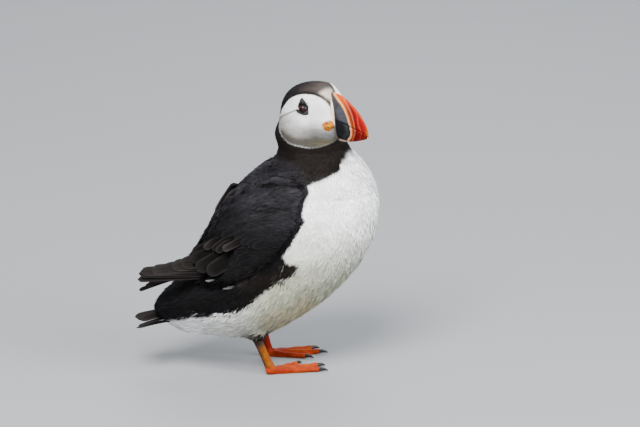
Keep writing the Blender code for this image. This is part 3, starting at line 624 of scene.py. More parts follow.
def scatter(belongs, spacing):
    """Roots at least spacing apart over the part of the skin that belongs, as far as the tries reach."""
    tris = np.concatenate([skin_faces[:, (0, 1, 2)], skin_faces[:, (0, 2, 3)]])
    tris = tris[belongs(skin_verts[tris].mean(1))]
    a, b, c = (skin_verts[tris[:, k]] for k in range(3))
    area = np.linalg.norm(np.cross(b - a, c - a), axis=1) / 2
    count = int(area.sum() / spacing ** 2 * TRIES)
    pick = RNG.choice(len(tris), count, p=area / area.sum())
    r, s = np.sqrt(RNG.random(count))[:, None], RNG.random(count)[:, None]
    points = (1 - r) * a[pick] + r * (1 - s) * b[pick] + r * s * c[pick]
    cells, kept = {}, []
    steps = [(i, j, k) for i in (-1, 0, 1) for j in (-1, 0, 1) for k in (-1, 0, 1)]
    near = spacing * spacing
    for (x, y, z), (i, j, k) in zip(points.tolist(), np.floor(points / spacing).astype(int).tolist()):
        for di, dj, dk in steps:
            other = cells.get((i + di, j + dj, k + dk))
            if other and any((x - p) ** 2 + (y - q) ** 2 + (z - r) ** 2 < near for p, q, r in other):
                break
        else:
            cells.setdefault((i, j, k), []).append((x, y, z))
            kept.append((x, y, z))
    return np.array(kept)


def trails(roots, lengths, turn):
    """Paths over the skin along the lie, turned a little: their points, and the skin's normals there."""
    places, normals = on_skin(roots)
    track, up, steps = [places], [normals], 4
    for _ in range(steps):
        way = lie(places)
        way = unit(way - normals * np.einsum("ij,ij->i", way, normals)[:, None])
        way = way * np.cos(turn)[:, None] + np.cross(normals, way) * np.sin(turn)[:, None]
        places, normals = on_skin(places + way * (lengths / steps)[:, None])
        track.append(places)
        up.append(normals)
    return np.stack(track, 1), np.stack(up, 1)


def sampled(track, q):
    """Points of each track (N, steps, 3) at shares q (N, ...) of its length."""
    last = track.shape[1] - 1
    place = np.clip(q, 0, 1) * last
    i = np.minimum(place.astype(int), last - 1)
    t = (place - i)[..., None]
    rows = np.arange(len(track)).reshape((-1,) + (1,) * (q.ndim - 1))
    return track[rows, i] * (1 - t) + track[rows, i + 1] * t


def frames(track, up):
    way = unit(np.gradient(track, axis=1))
    return way, unit(np.cross(up, way))


PATCH = 0.003  # how wide one tuft's or vane's place is in a flat map
MAP_EDGES = (0.004, 0.996)
FIRST_SLICE, ALL_SLICES = math.radians(82), math.radians(100)
HEAD_CORE = 20  # how far the middle of the head's map lies behind the gape
WING_MAP_CORNER, WING_MAP_SIZE = (-100, 60), 260


def unwrap(points):
    """The body's own shape laid flat, from 0 to 1: along it, and round it."""
    away = points[:, (0, 2)] - TURN_AT
    along = (np.arctan2(away[:, 1], away[:, 0]) + FIRST_SLICE) / ALL_SLICES
    round_it = np.arctan2(points[:, 1], np.hypot(*away.T) - SPINE_RADIUS) / (2 * math.pi) + 0.5
    return np.clip(stacked(along, round_it), *MAP_EDGES)


def unwrap_head(points):
    f, l, u = to_head(points)
    f = f + HEAD_CORE
    along = np.arccos(f / np.sqrt(f * f + l * l + u * u)) / math.pi
    return np.clip(stacked(along, np.arctan2(l, u) / (2 * math.pi) + 0.5), *MAP_EDGES)


def unwrap_wing(points):
    flat = (as_right_wing(points) - WING_MAP_CORNER) / WING_MAP_SIZE
    flat[:, 1] += np.where(points[:, 1] > 0, 0.5, 0.0)
    return np.clip(flat, *MAP_EDGES)


BLADE_STOPS, BLADE_SHAPE = np.array((0.0, 0.34, 0.68, 1.0)), np.array((0.75, 1.0, 0.72, 0.0))


def spread(count):
    """Shares of a vane's length, closer together towards its tip."""
    return 1 - (1 - np.linspace(0, 1, count)) ** 1.7


def feathers(verts, faces, normals, tint, vane, bake):
    """The arrays of one coat piece, as build takes them."""
    return dict(verts=verts.reshape(-1, 3), faces=faces, normals=normals.reshape(-1, 3),
                tint=np.clip(tint, 0, 1).reshape(-1, 3), vane=vane.reshape(-1, 2), bake=bake.reshape(-1, 2))


def tufts(track, up, width, lift, blades, thick, even=0.3, unwrapped=unwrap, roll=0.25, edge_shade=0.22,
          painted=1, uneven=0.045):
    """A bunch of tapered blades on each track, painted as at one of their stops or at every point."""
    count = len(track)
    way, side = frames(track, up)
    e = np.linspace(-1, 1, blades)[None, :] + RNG.normal(0, 0.16, (count, blades))
    reach = 1 - 0.2 * np.abs(e) ** 1.5 - even * RNG.random((count, blades))
    e = e[..., None]
    stops = BLADE_STOPS
    q = stops * reach[..., None]
    centre, n, sd, w = (sampled(part, q) for part in (track, up, side, way))
    waver = RNG.normal(0, 0.07, (count, blades))[..., None] * stops ** 2
    off = (e * (0.4 + 0.6 * stops * 1.3) + waver) * width[:, None, None] / 2
    high = lift[:, None, None] * (0.04 + 0.96 * stops ** 0.75)
    high = high * (1 + RNG.normal(0, 0.14, (count, blades))[..., None]) * (1 - 0.12 * e ** 2)
    tilt = RNG.normal(0, roll, (count, blades))[..., None, None]
    half = (thick * BLADE_SHAPE)[:, None]
    middle = centre + sd * off[..., None] + n * high[..., None]

    def corners(left, right, tip):
        """Seven of each blade: three pairs and its tip."""
        pairs = np.stack([left[:, :, :3], right[:, :, :3]], 3).reshape(count, blades, 6, 3)
        return np.concatenate([pairs, tip[:, :, 3:]], 2)

    verts = corners(middle - sd * half - n * (tilt * half), middle + sd * half + n * (tilt * half), middle)
    base = n - w * (lift[:, None, None, None] / 9 * 0.5) - sd * (tilt * 0.45)
    normals = corners(base - sd * edge_shade, base + sd * edge_shade, base)
    start = np.arange(count * blades)[:, None, None] * 7
    faces = [(start + np.array(rows)).reshape(-1, len(rows[0]))
             for rows in (((0, 2, 3, 1), (2, 4, 5, 3)), ((4, 6, 5),))]

    def tint_at(points):
        return markings(points.reshape(-1, 3)).reshape(points.shape)

    if painted in ("points", "hanging"):
        tint = tint_at(verts)
        if painted == "hanging":  # a dark tuft stays dark over the white, and a white one ends at the black
            tint = np.minimum(tint, tint_at(middle[:, :, 0])[:, :, None])
    else:
        tint = tint_at(middle[:, :, painted])[:, :, None]
    lightness = 1 + RNG.normal(0, uneven, (count, 1)) + RNG.normal(0, uneven, (count, blades))
    # painted shade: each blade darker towards its root, down among the others
    root_shade = np.array((0.84, 0.84, 0.94, 0.94, 1.0, 1.0, 1.02))
    across = np.array((0, 1, 0, 1, 0, 1, 0.5))
    down = np.repeat(stops, 2)[:7]
    vane = stacked(across + RNG.random((count, blades, 1)) * 40, down)
    local = stacked(e * 0.4 + (across - 0.5) * 0.2, down - 0.5)
    return feathers(verts, faces, normals, tint * lightness[..., None, None] * root_shade[:, None], vane,
                    unwrapped(track[:, 0])[:, None, None, :] + local * PATCH)


def vanes(track, up, width, lift, tint, unwrapped, along=14, across=7, blunt=0.8, camber=0.14, ridge=0.15,
          dark_root=0.75, round_end=1.0, root_width=0.45):
    """One flat, round-ended feather on each track."""
    count = len(track)
    width, lift = np.asarray(width), np.asarray(lift)
    way, side = frames(track, up)
    e = np.linspace(-1, 1, across)
    stops = spread(along + 1)
    length = np.linalg.norm(np.diff(track, axis=1), axis=2).sum(1)
    full = 1 - np.clip(width * 0.5 * blunt * round_end / length, 0.02, 0.6)[:, None]
    profile = np.clip(root_width + 2.2 * stops, 0, 1) * (1 - (1 - blunt) * stops)
    profile = profile * np.sqrt(np.clip(1 - ((stops - full).clip(0) / (1 - full)) ** 2, 0.0004, 1))
    ragged = np.abs(RNG.normal(0, 0.015, (count, along + 1, across)))
    ragged = ragged * smooth(0.4, 0.9, stops)[None, :, None] * np.abs(e)
    centre, n, sd, w = (sampled(part, stops[None, :, None] - ragged) for part in (track, up, side, way))
    half = (width[:, None] / 2 * profile)[:, :, None]
    high = (lift[:, None] * (0.03 + 0.97 * stops ** 0.8))[:, :, None] - half * camber * (e * e)
    high = high + ridge * hump(e, 0, 0.12) * (1 - 0.8 * stops)[None, :, None]
    verts = centre + sd * (half * e)[..., None] + n * high[..., None]
    normals = n + sd * (e * camber * 1.6)[None, None, :, None] - w * (lift / 14)[:, None, None, None]
    start = np.arange(count)[:, None, None] * (along + 1) * across
    quads = (start + grid_faces(along + 1, across)[:, (0, 3, 2, 1)]).reshape(-1, 4)
    lightness = 1 + RNG.normal(0, 0.07, (count, 1, 1))
    # painted shade: each vane darker towards its root, under the feathers over it
    shade = between(dark_root, 1.0, smooth(0.0, 0.7, stops))[None, :, None] * lightness * np.ones(across)
    if tint.ndim == 2:
        tint = tint[:, None, None, :]
    stops = stops[:, None]
    vane = stacked((e + 1) / 2 * 0.998 + 0.001 + (RNG.random((count, 1, 1)) * 40).round(), stops)
    bake = unwrapped(track[:, 0])[:, None, None, :] + stacked(e / 2, stops - 0.5) * PATCH
    return feathers(verts, [quads], normals, tint * shade[..., None], vane, bake)


def together(*parts):
    """Several feather arrays as one."""
    start, faces = 0, []
    for part in parts:
        faces += [one + start for one in part["faces"]]
        start += len(part["verts"])
    out = {key: np.concatenate([part[key] for part in parts]) for key in parts[0] if key != "faces"}
    quads = [one for one in faces if one.shape[1] == 4]
    tris = [one for one in faces if one.shape[1] == 3]
    return dict(out, faces=[np.concatenate(group) for group in (quads, tris) if group])


def coat(name, mat, slot, part, stands=()):
    total = sum(len(one) * (one.shape[1] - 2) for one in part["faces"])
    print(f"{name}: {total} triangles")
    build(name, mat=mat, slot=slot, stands=stands, **part)


HEAD_DOWN_TO, NECK_DOWN_TO = -23, -52  # as heights in the head's frame
WING_TOP, BELLY_FROM = 148, 12  # the wings' coat grows below the one, and the belly's behind the other


def region(points):
    """Which coat grows where: 1 head, 2 wing, 3 back, 4 neck, 5 breast, 6 belly."""
    x, y, z = points.T
    u = to_head(points)[2]
    head = (u > HEAD_DOWN_TO) & (z > 150)
    neck = ~head & (u > NECK_DOWN_TO) & (z > 128)
    wing = (inside(as_right_wing(points), WING_LOOP) > 0.5) & (np.abs(y) > 12) & ~head & (z < WING_TOP)
    black = -to_line(points[:, (0, 2)], BLACK_EDGE) > 1.5
    back = black & ~head & ~neck & ~wing & ((x < -8) | (z > 105)) & (z > 40)
    return np.select([head, wing, back, neck, x > BELLY_FROM], [1, 2, 3, 4, 5], 6)


white_mat = plumage_material("white_plumage", 0.85, 0.03, 0.1, 0.06, sheen=0.05)
face_mat = plumage_material("face_plumage", 0.88, 0.03, 0.1, 0.06)
dark_mat = plumage_material("dark_plumage", 0.6, 0.25, 0.3, 0.05)
flight_mat = plumage_material("flight_feathers", 0.7, 0.3, 0.4, 0.02, edge=0.07)


def grown(place, spacing, length, width, lift, loose=0.12, **settings):
    """Tufts over a region or where place says; length, width and lift may depend on their roots."""
    roots = scatter(place if callable(place) else lambda p: region(p) == place, spacing)
    length, width, lift = (value(roots) if callable(value) else np.full(len(roots), float(value))
                           for value in (length, width, lift))
    lengths = length * (1 + RNG.normal(0, 0.1, len(roots)))
    track, up = trails(roots, lengths, RNG.normal(0, loose, len(roots)))
    return tufts(track, up, width * (1 + RNG.normal(0, 0.1, len(roots))), lift, **settings)


def head_length(points):
    f, l, u = to_head(points)
    return 2.1 + 1.7 * smooth(-6, -30, f) + 1.2 * smooth(-8, -22, u)


def body_length(points):
    low = smooth(80, 45, points[:, 2])
    return 9.5 + 3.5 * low + 4 * smooth(-20, -60, points[:, 0])


def body_lift(points):
    dusky = smooth(-1, 2, -to_line(points[:, (0, 2)], BLACK_EDGE)) * smooth(95, 80, points[:, 2])
    return coat_depth(points) * (1.1 + 0.12 * wobble(points, 8, 8) + 0.35 * dusky)


def white_length(points):
    """Shorter on the thighs' hems, and beside the black back."""
    line = to_line(points[:, (0, 2)], BLACK_EDGE)
    beside = smooth(0, 7, line) + smooth(0.5, -1, line)
    return body_length(points) * (1 - 0.65 * hem(points - (0, 0, 3))) * (0.5 + 0.5 * beside)


def head_lift(points):
    f, l, u = to_head(points)
    return 0.9 + 0.9 * np.exp(-((f + 11) / 6) ** 2 - ((l - 4) / 5) ** 2) * smooth(12, 17, u)


def flank_edge(points):
    """The dark flank's lower border, whose long feathers hang over the white."""
    line = -to_line(points[:, (0, 2)], BLACK_EDGE)
    return (line > 0.5) & (line < 5) & (points[:, 0] > -32) & (points[:, 0] < 19) & (points[:, 2] < 92)


def under_tail(points):
    return (points[:, 2] < 42) & (points[:, 0] < -22) & (region(points) == 6)


coat("coat_head", face_mat, "grey_face",
     grown(1, 0.72, head_length, 1.4, head_lift, 0.08, blades=3, thick=0.34, unwrapped=unwrap_head,
           painted="points", uneven=0.025, roll=0.15, edge_shade=0.15))
coat("coat_neck", dark_mat, "black_plumage",
     grown(4, 1.1, 6.5, 2.7, lambda p: coat_depth(p) * 1.05, blades=4, thick=0.5, painted="points"))
coat("coat_back", dark_mat, "black_plumage",
     grown(3, 1.6, 11.0, 4.6, body_lift, blades=6, thick=0.75, even=0.2, uneven=0.08))
coat("coat_wings", dark_mat, "black_plumage",
     grown(2, 1.55, 11.0, 4.6, 2.0, blades=6, thick=0.75, even=0.2, unwrapped=unwrap_wing, uneven=0.10,
           painted="hanging"))
breast, belly = (grown(place, 1.25, white_length, 4.2, body_lift, blades=5, thick=0.6, painted="hanging",
                       edge_shade=0.12, uneven=0.025) for place in (5, 6))
coat("coat_breast", white_mat, "white_plumage", breast)
wisps = grown(under_tail, 3.2, 17.0, 4.0, 3.6, 0.25, blades=4, thick=0.32, even=0.5, painted="hanging")
coat("coat_flank_fringe", dark_mat, "black_plumage",
     grown(flank_edge, 1.7, 13.0, 3.6, 3.9, 0.2, blades=5, thick=0.38, even=0.5, painted=0))

# ---------------------------------------------------------------- wings and tail

BROWN_BLACK = np.array((0.030, 0.026, 0.025))
# The grey slivers of feather low on each wing: root, tip, width and tint.
SLIVERS = (
    ((-21, 42.2, 71.8), (-33, 42.6, 70.2), 1.3, 0.05),
    ((-23, 42.2, 70.8), (-36, 42.0, 68.8), 1.2, 0.08),
    ((-26, 42.0, 70.1), (-34, 42.0, 68.4), 1.0, 0.04),
    ((-38, 38.5, 75.2), (-48, 37.4, 73.8), 1.1, 0.12),
    ((-41, 38.2, 74.2), (-46.5, 37.6, 73.2), 0.9, 0.07),
)
# Two rows of four tertials: roots, tips, the place the left wing's are drawn back to, bow, widths,
# lifts, tint and the vanes' other settings.
TERTIALS = (
    (((-25, 35, 105), (-23, 36.5, 102), (-22, 37.0, 98.5), (-21, 37.5, 95)),
     ((-57, 34.5, 93), (-58, 35.5, 88), (-54.5, 38.0, 82.5), (-47, 40.5, 80)), (-24, 42, 99), 1.5,
     (10.0, 11.0, 12.0, 12.5), (0.4, 0.8, 1.2, 1.6), (0.10, 0.7, 0.5), dict(camber=0.06, ridge=0.08)),
    (((-28, 37.5, 106), (-36, 35.5, 105), (-27, 38.0, 104.5), (-16, 38.5, 106)),
     ((-43, 38.5, 96.5), (-48.5, 36.5, 97), (-40.5, 41.0, 95.5), (-36.5, 42.8, 97.3)), (-26, 43, 104), 0.8,
     (6.2, 6.2, 6.2, 6.2), (1.8, 2.0, 2.2, 2.6), (0.14, 1.2, (0.5, 2.8, 0.6, 3.6)), {}),
)
# Seven primaries on each wing: the lowest root, the step to the next, the lowest tip and all steps from it.
PRIMARIES = {
    "right": ((-38, 31, 77), (0.0, 0.2, 1.9), (-95.0, 19.0, 71.3),
              ((0, 0, 0), (0.8, 1.0, 4.4), (2.2, 1.8, 6.0), (9.5, 3.4, 7.4), (17.5, 5.2, 8.6),
               (24.0, 7.2, 10.8), (30.0, 9.4, 13.0))),
    "left": ((-34, 32, 66), (0.0, 0.3, 1.6), (-92.0, 15.5, 54.0),
             ((0, 0, 0), (5.0, 0.8, 2.6), (10.0, 1.6, 5.0), (16.5, 3.2, 7.4), (23.5, 5.2, 9.6),
              (30.0, 7.2, 11.6), (36.0, 9.4, 13.4))),
}
# The line of the far wing's six scapulars, how far beside it each lies, and how much of it each covers.
CREST = np.array((
    (-17.5, 18, 128.4), (-20.5, 18, 130.4), (-23.6, 18, 130.8), (-26.0, 18, 128.8), (-29.4, 18, 122.8),
    (-32.2, 18, 117.7), (-35.5, 18, 111.5), (-39.2, 18, 103.9), (-41.3, 18, 99.7),
))
CREST_ACROSS = np.array((10.5, 8.6, 5.8, 3.2, 0.6, -2.4))[:, None, None]
CREST_REACH = np.array((0.5, 0.82, 0.62, 0.9, 0.95, 1.0))[:, None] * np.linspace(0, 1, 9)
# The brown feather on their near side, and its pale streak.
UNDER_CREST = np.array((
    ((-18.6, 15.6, 128.2), (-22.4, 15.2, 128.2), (-25.8, 15.0, 125.2), (-30.6, 15.2, 118.4),
     (-36.0, 15.8, 109.0)),
    ((-24.0, 14.4, 126.0), (-26.0, 14.2, 124.2), (-27.8, 14.2, 122.0), (-29.4, 14.2, 119.6),
     (-31.0, 14.3, 117.2)),
))

def wing_point(side, x, z):
    """A place on the skin of a folded wing, given on the right wing's outline."""
    if side > 0:
        x, z = turned((x, z), LEFT_TURN)
    place = SKIN.ray_cast(Vector((x, side * 90, z)), Vector((0, -side, 0)))[0]
    return np.array(place or SKIN.find_nearest(Vector((x, side * 30, z)))[0])


def folded(side, points):
    """Places given for the right wing, as (x, how far out, z), on the wing of either side."""
    points = np.array(points, float)
    if side > 0:
        points[:, (0, 2)] = turned(points[:, (0, 2)], LEFT_TURN)
    return points * (1, side, 1)


def plumes(roots, tips, out, bow, width, lift, tint, unwrapped, **settings):
    """Vanes in the open air, from roots to tips; they bow out a little, the way their faces look."""
    share = np.linspace(0, 1, TRACK_STEPS + 1)[None, :, None]
    way = unit(tips - roots)
    out = np.atleast_2d(out)
    out = unit(out - way * np.einsum("ij,ij->i", out, way)[:, None])[:, None]
    track = between(roots[:, None], tips[:, None], share) + out * bow * np.sin(math.pi * share)
    return vanes(track, np.broadcast_to(out, track.shape), width, lift, tint, unwrapped, **settings)


def flight_tint(count, base, pale, tip=0.0):
    """Dark vanes that pale a little to their rims, and more to their tips."""
    e = np.abs(np.linspace(-1, 1, 7))[None, None, :, None]
    s = spread(15)[None, :, None, None]
    tip = np.broadcast_to(tip, count)[:, None, None, None]
    return np.asarray(base) * (1 + pale * e ** 4 + tip * smooth(0.45, 0.95, s) * (0.35 + 0.65 * e ** 2))


def laid(side, roots, tips):
    """Tracks over the wing's skin, from roots to tips given on the right wing's outline."""
    track = np.array([[wing_point(side, *between(root, tip, k / TRACK_STEPS)) for k in range(TRACK_STEPS + 1)]
                      for root, tip in zip(roots, tips)])
    return track, on_skin(track)[1]


roots, tips, width, tint = zip(*SLIVERS)
tint = np.array(tint)[:, None] * WHITE
slivers = [plumes(folded(side, roots), folded(side, tips), (0, side, 0.1), 0.5, width, np.full(5, 0.4),
                  tint, unwrap, along=6, across=3, root_width=0.1) for side in (-1, 1)]
coat("coat_belly", white_mat, "white_plumage", together(belly, wisps, *slivers))


def row_over_wing(side, first, last, count, back, width, lift, base, pale):
    """Feathers along the wing's skin, with tips from first to last and roots that far from them."""
    tips = between(np.array(first), np.array(last), np.linspace(0, 1, count)[:, None])
    track, up = laid(side, tips + back, tips)
    return vanes(track, up, width * (1 + RNG.normal(0, 0.05, count)), lift + 0.22 * (np.arange(count) % 3),
                 flight_tint(count, base, pale), unwrap_wing)


def scapulars():
    """The far wing's scapulars, which stand up behind the back."""
    aside = CREST_ACROSS
    track = CREST + aside * (0.0, 1.0, -0.28) - (0.045 * aside.clip(0) ** 2) * (-0.3, 0.0, 1.0)
    track = sampled(track, CREST_REACH) + (aside * 0.16 * CREST_REACH[..., None] ** 2) * (0.0, 1.0, 0.0)
    up = unit(np.cross(np.gradient(track, axis=1), (0, -1, 0)) + aside * (0.0, 0.035, 0.0))
    over = vanes(track, up, (6.0, 7.5, 7.0, 7.5, 7.0, 7.0), np.linspace(0.0, 0.5, 6),
                 flight_tint(6, BROWN_BLACK * 0.15, 0.9, 0.4), unwrap_wing, camber=0.16)
    up = np.broadcast_to(unit(np.array((-0.25, -0.95, 0.15))), UNDER_CREST.shape)
    tint = np.array((1.1, 5.0))[:, None] * BROWN_BLACK
    return over, vanes(UNDER_CREST, up, (6.4, 1.7), (0.0, 0.6), tint, unwrap_wing, camber=0.05)


for name, side in (("right", -1), ("left", 1)):
    # the black secondaries, then the brown tertials, then the last of the greater coverts
    parts = [row_over_wing(side, (-57.0, 71.5), (4.0, 88.5), 11, (24.0, 9.0), 9.0, 1.5, BLACK * 0.7, 0.0)]
    for roots, tips, root, bow, width, lift, (dark, pale, tip), settings in TERTIALS:
        tips = root + (np.array(tips, float) - root) * (1.0 if side < 0 else 0.42, 1, 1)
        parts.append(plumes(folded(side, roots), folded(side, tips), (-0.2, side, 0.15), bow, width, lift,
                            flight_tint(4, BROWN_BLACK * dark, pale, tip), unwrap_wing, root_width=0.1,
                            dark_root=0.3, **settings))
    parts += [row_over_wing(side, (-33.0, 103.5), (-14.0, 99.0), 6, (11.0, 4.5), 6.5, 3.4, BLACK * 1.1, 0.3),
              row_over_wing(side, (-27.0, 98.0), (-24.0, 86.0), 4, (11.0, 4.0), 7.0, 3.0, BLACK * 0.8, 0.3)]
    # primaries: the lowest is the longest, and each of the others lies over the last
    root, step, tip, steps = (np.array(numbers, float) for numbers in PRIMARIES[name])
    roots, tips = ((root + np.arange(7)[:, None] * step) * (1, side, 1), (tip + steps) * (1, side, 1))
    parts.append(plumes(roots, tips, (0, side, 0.35), 2.0,
                        np.array((6.5, 8.5, 9.5, 10.5, 11.5, 12.0, 12.5)) * (1.0 if side < 0 else 0.8),
                        np.linspace(0.0, 1.6, 7), flight_tint(7, BROWN_BLACK * 0.32, 0.4, 0.2), unwrap_wing,
                        blunt=0.7, camber=0.035, round_end=1.5, ridge=0.06))
    if side > 0:
        parts += scapulars()
    coat(f"wing_{name}_feathers", flight_mat, "brown_black_plumage", together(*parts),
         stands=(f"wing_{name}_primaries", f"wing_{name}_tertials"))

tips = np.array(((-91.5, 13.0, 35.2), (-94.5, 9.5, 36.0), (-95.4, 5.5, 36.4), (-94.0, 1.5, 35.6),
                 (-92.0, -2.5, 35.4), (-94.0, -9.0, 34.0), (-95.8, -12.5, 33.6)))
across = tips[:, 1]
coat("tail_feathers", flight_mat, "black_plumage",
     plumes(stacked(-64, across * 0.6, 43.0 - 0.03 * across ** 2), tips,
            stacked(0.12, np.where(across > -5, -0.4, 0.06), 1), 0.8, np.full(7, 8.5),
            (0.0, 0.5, 1.0, 1.5, 2.0, 0.4, 0.1), flight_tint(7, BROWN_BLACK * 0.2, 0.9, 1.4), unwrap,
            blunt=0.85, camber=0.05, ridge=0.08, round_end=1.3),
     stands=("tail",))

# ---------------------------------------------------------------- bill

LOWER_TIP, GAPE_END = (24.2, -11.2), (24.5, -8.4)
CULMEN = ((-9.7, 18.4), (-1.5, 17.2), (5.5, 14.2), (11.6, 10.3), (17.0, 6.0), (21.4, 1.0), (24.8, -4.2),
          (26.1, -10.2))
CHIN_BULGE = 1.2
BILL_HALF_WIDTH, TIP_HALF_WIDTH = 6.0, 0.9
# Ribs and grooves cross both mandibles, from culmen to chin, as (f, u).
PLATE_EDGE = ((-8.0, 20.5), (-5.2, 18.0), (-2.0, 15.6), (1.6, 12.9), (5.4, 9.4), (8.8, 4.6), (11.2, -0.6),
              (12.4, -4.6), (12.7, -8.0), (11.4, -11.3), (8.8, -14.0), (7.0, -17.8))
SECOND_RIB = ((-1.6, 20.5), (1.4, 17.4), (5.0, 13.9), (10.4, 7.9), (13.6, 2.5), (15.3, -3.2),
              (15.6, -8.0), (13.2, -12.4), (10.8, -17.0))
THIRD_RIB = ((11.0, 15.0), (14.4, 9.6), (17.0, 4.0), (18.6, -1.8), (20.6, -5.8), (20.4, -9.4), (18.0, -14.0))


def bulged(start, end, bulge, share):
    """Points at shares of the way from start to end that bulge to its left."""
    start, end = np.array(start), np.array(end)
    length = math.dist(start, end)
    side = np.array((start[1] - end[1], end[0] - start[0])) / length
    return start + (end - start) * share[..., None] + side * (bulge * 4 * share * (1 - share))[..., None]


def horn_paint(f, u, upper):
    """Colour and relief of the bill's side at (f, u)."""
    flat = stacked(f.ravel(), u.ravel())
    # how far ahead of each line
    plate, second, third = (to_line(flat, curve(line, np.linspace(0, len(line) - 1, 30))).reshape(f.shape)
                            for line in (PLATE_EDGE, SECOND_RIB, THIRD_RIB))
    place = stacked(f, u, 0 * f)
    grain = wobble(place, 1.6, 11)
    fine = wobble(place * (1.0, 0.35, 1), 0.5, 12)
    if upper:
        slate = mix((0.012, 0.010, 0.013), (0.036, 0.036, 0.043),
                    smooth(-9.0, -6.0, plate + 0.4 * (u < 3)) * smooth(-4, 1, u))
    else:
        slate = mix((0.007, 0.007, 0.009), (0.016, 0.018, 0.018),
                    smooth(-6, -3, plate) * smooth(-1, -3, plate))
    slate = slate * (1 + 0.25 * grain)[..., None]
    flecks = smooth(0.7, 1.2, fine + 0.3 * grain) * smooth(5, 10, u) * smooth(-4, -1.5, plate)
    band = mix((0.50, 0.23, 0.13), (0.62, 0.28, 0.085), smooth(2, 13, u))
    brown = layered((0.19, 0.032, 0.002), ((0.13, 0.010, 0.002), smooth(0.8, 3.4, plate + 0.3 * grain)),
                    ((0.36, 0.045, 0.0), smooth(7, 14, u)))
    red = layered((0.19, 0.001, 0.0), ((0.235, 0.008, 0.0), smooth(-2, 10, u) if upper else 0 * u),
                  ((0.20, 0.014, 0.006), smooth(0.2, 0.9, grain) * smooth(2, -3, u) * 0.6))
    colour = layered(slate, ((0.50, 0.42, 0.38), flecks * 0.7), (band, smooth(-0.9, -0.5, plate)),
                     (brown, smooth(0.45, 0.85, plate)), (red, smooth(0.1, 0.5, second)),
                     ((0.50, 0.15, 0.09), hump(second, 0, 0.24) * (0.7 if upper else 0.5)),
                     ((0.06, 0.001, 0.002), hump(second, 1.2, 0.6) * 0.95 * smooth(14, 9, u)),
                     ((0.42, 0.09, 0.05), hump(third, -0.2, 0.26) * 0.5 * smooth(6, 1, u)),
                     ((0.14, 0.004, 0.002), hump(third, 0.8, 0.4) * 0.6),
                     ((0.20, 0.075, 0.008), smooth(23.0, 25.6, f) * 0.8))
    if not upper:
        chin = smooth(-13.6, -14.6, u + 0.1 * f) * smooth(0.5, -0.5, plate)
        colour = layered(colour, (colour * 0.55, smooth(0.5, 1.5, second)), ((0.70, 0.50, 0.38), chin * 0.9))
    relief = 0.42 * hump(plate, 0, 0.85) + 0.26 * hump(second, 0, 0.6) + 0.18 * hump(third, -0.2, 0.55)
    relief = relief - 0.30 * hump(second, 1.2, 0.6) - 0.20 * hump(third, 0.8, 0.5)
    relief = relief + 0.25 * smooth(-8, -5, plate) * smooth(-1.2, -3.5, plate) + 0.02 * fine
    return np.clip(colour, 0.003, 1), relief


def mandible(upper):
    """Half of the bill: slices that each run from the gape to the bill's edge, and back."""
    steps, across = 72, 30
    lift = 0.10 if upper else -0.10
    share = np.linspace(0, 1, steps + 1)
    if upper:
        edge = curve(CULMEN, share * (len(CULMEN) - 1))[:, None]
    else:
        edge = bulged((base_f(BILL_BOTTOM), BILL_BOTTOM), LOWER_TIP, -CHIN_BULGE, share)[:, None]
    gape = bulged((base_f(0.0), lift), (GAPE_END[0], GAPE_END[1] + lift), 0.6, share)[:, None]
    gape[..., 1] += (0.35 * np.sin(share * 9) * share)[:, None]
    t = np.linspace(0, 1, across)[None, :]
    place = between(gape, edge, t[..., None])
    f, u = place[..., 0], place[..., 1]
    share = share[:, None]
    f = f + (base_f(u) - f) * smooth(0.12, 0.0, share)
    wide = between(BILL_HALF_WIDTH, TIP_HALF_WIDTH, share ** 1.15)
    l = wide * (0.16 + 0.84 * np.maximum(0, 1 - t ** 1.5) ** 0.7)
    colour, relief = horn_paint(f, u, upper)
    l = l + relief * np.minimum(1, l / 1.5)
    l = l - 0.5 * smooth(0.10, 0.0, t) * smooth(0, 0.2, share)
    # painted shade along the gape, where the mandibles meet
    colour = colour * (1 - 0.45 * smooth(0.05, 0.0, t))[..., None]
    if upper:  # the culmen's paler edge, a painted highlight along the bill's top
        colour = mix(colour, (0.38, 0.055, 0.008), smooth(0.93, 0.985, t) * smooth(0.08, 0.2, share) * 0.4)
    rings = np.concatenate([in_head(f, l, u), in_head(f, -l, u)[:, ::-1]], 1)
    colours = np.concatenate([colour, colour[:, ::-1]], 1)
    i = np.arange(across - 1)
    cap = stacked(i, i + 1, 2 * across - 2 - i, 2 * across - 1 - i)
    faces = grid_faces(steps + 1, 2 * across, wrap=True)
    faces = np.concatenate([faces, cap, cap[:, ::-1] + steps * 2 * across])
    return rings.reshape(-1, 3), faces[:, ::-1] if upper else faces, colours.reshape(-1, 3)


def horn_material(name, rough, bump, scale, blotch, specular, lacquer=0.0):
    """Horn or bare skin: the painted tint and a fine uneven surface."""
    made, shader, node = nodes_of(name, rough, Coat_Weight=lacquer, Coat_Roughness=0.2,
                                  Specular_IOR_Level=specular)
    place = node("TexCoord").outputs["Object"]
    coarse, fine = noise(node, place, scale, 5.0), noise(node, place, scale * 6, 3.0)
    plug(shader.inputs["Base Color"], shaded_tint(node, (coarse, 1 - blotch, 1 + blotch), (fine, 0.94, 1.05)))
    plug(shader.inputs["Roughness"], ramp(node, coarse, 0.3, 0.7, rough - 0.08, rough + 0.12))
    bumped(node, shader, bump, math_node(node, "ADD", coarse, math_node(node, "MULTIPLY", fine, 0.4)))
    return made


horn_mat = horn_material("bill_horn", 0.46, 0.25, 500, 0.12, 0.05)
for name, upper in (("upper", True), ("lower", False)):
    verts, faces, colours = mandible(upper)
    build(f"bill_{name}", verts, faces, horn_mat, colours, "red_horn",
          (f"bill_{name}_plate", f"bill_{name}_tip"))


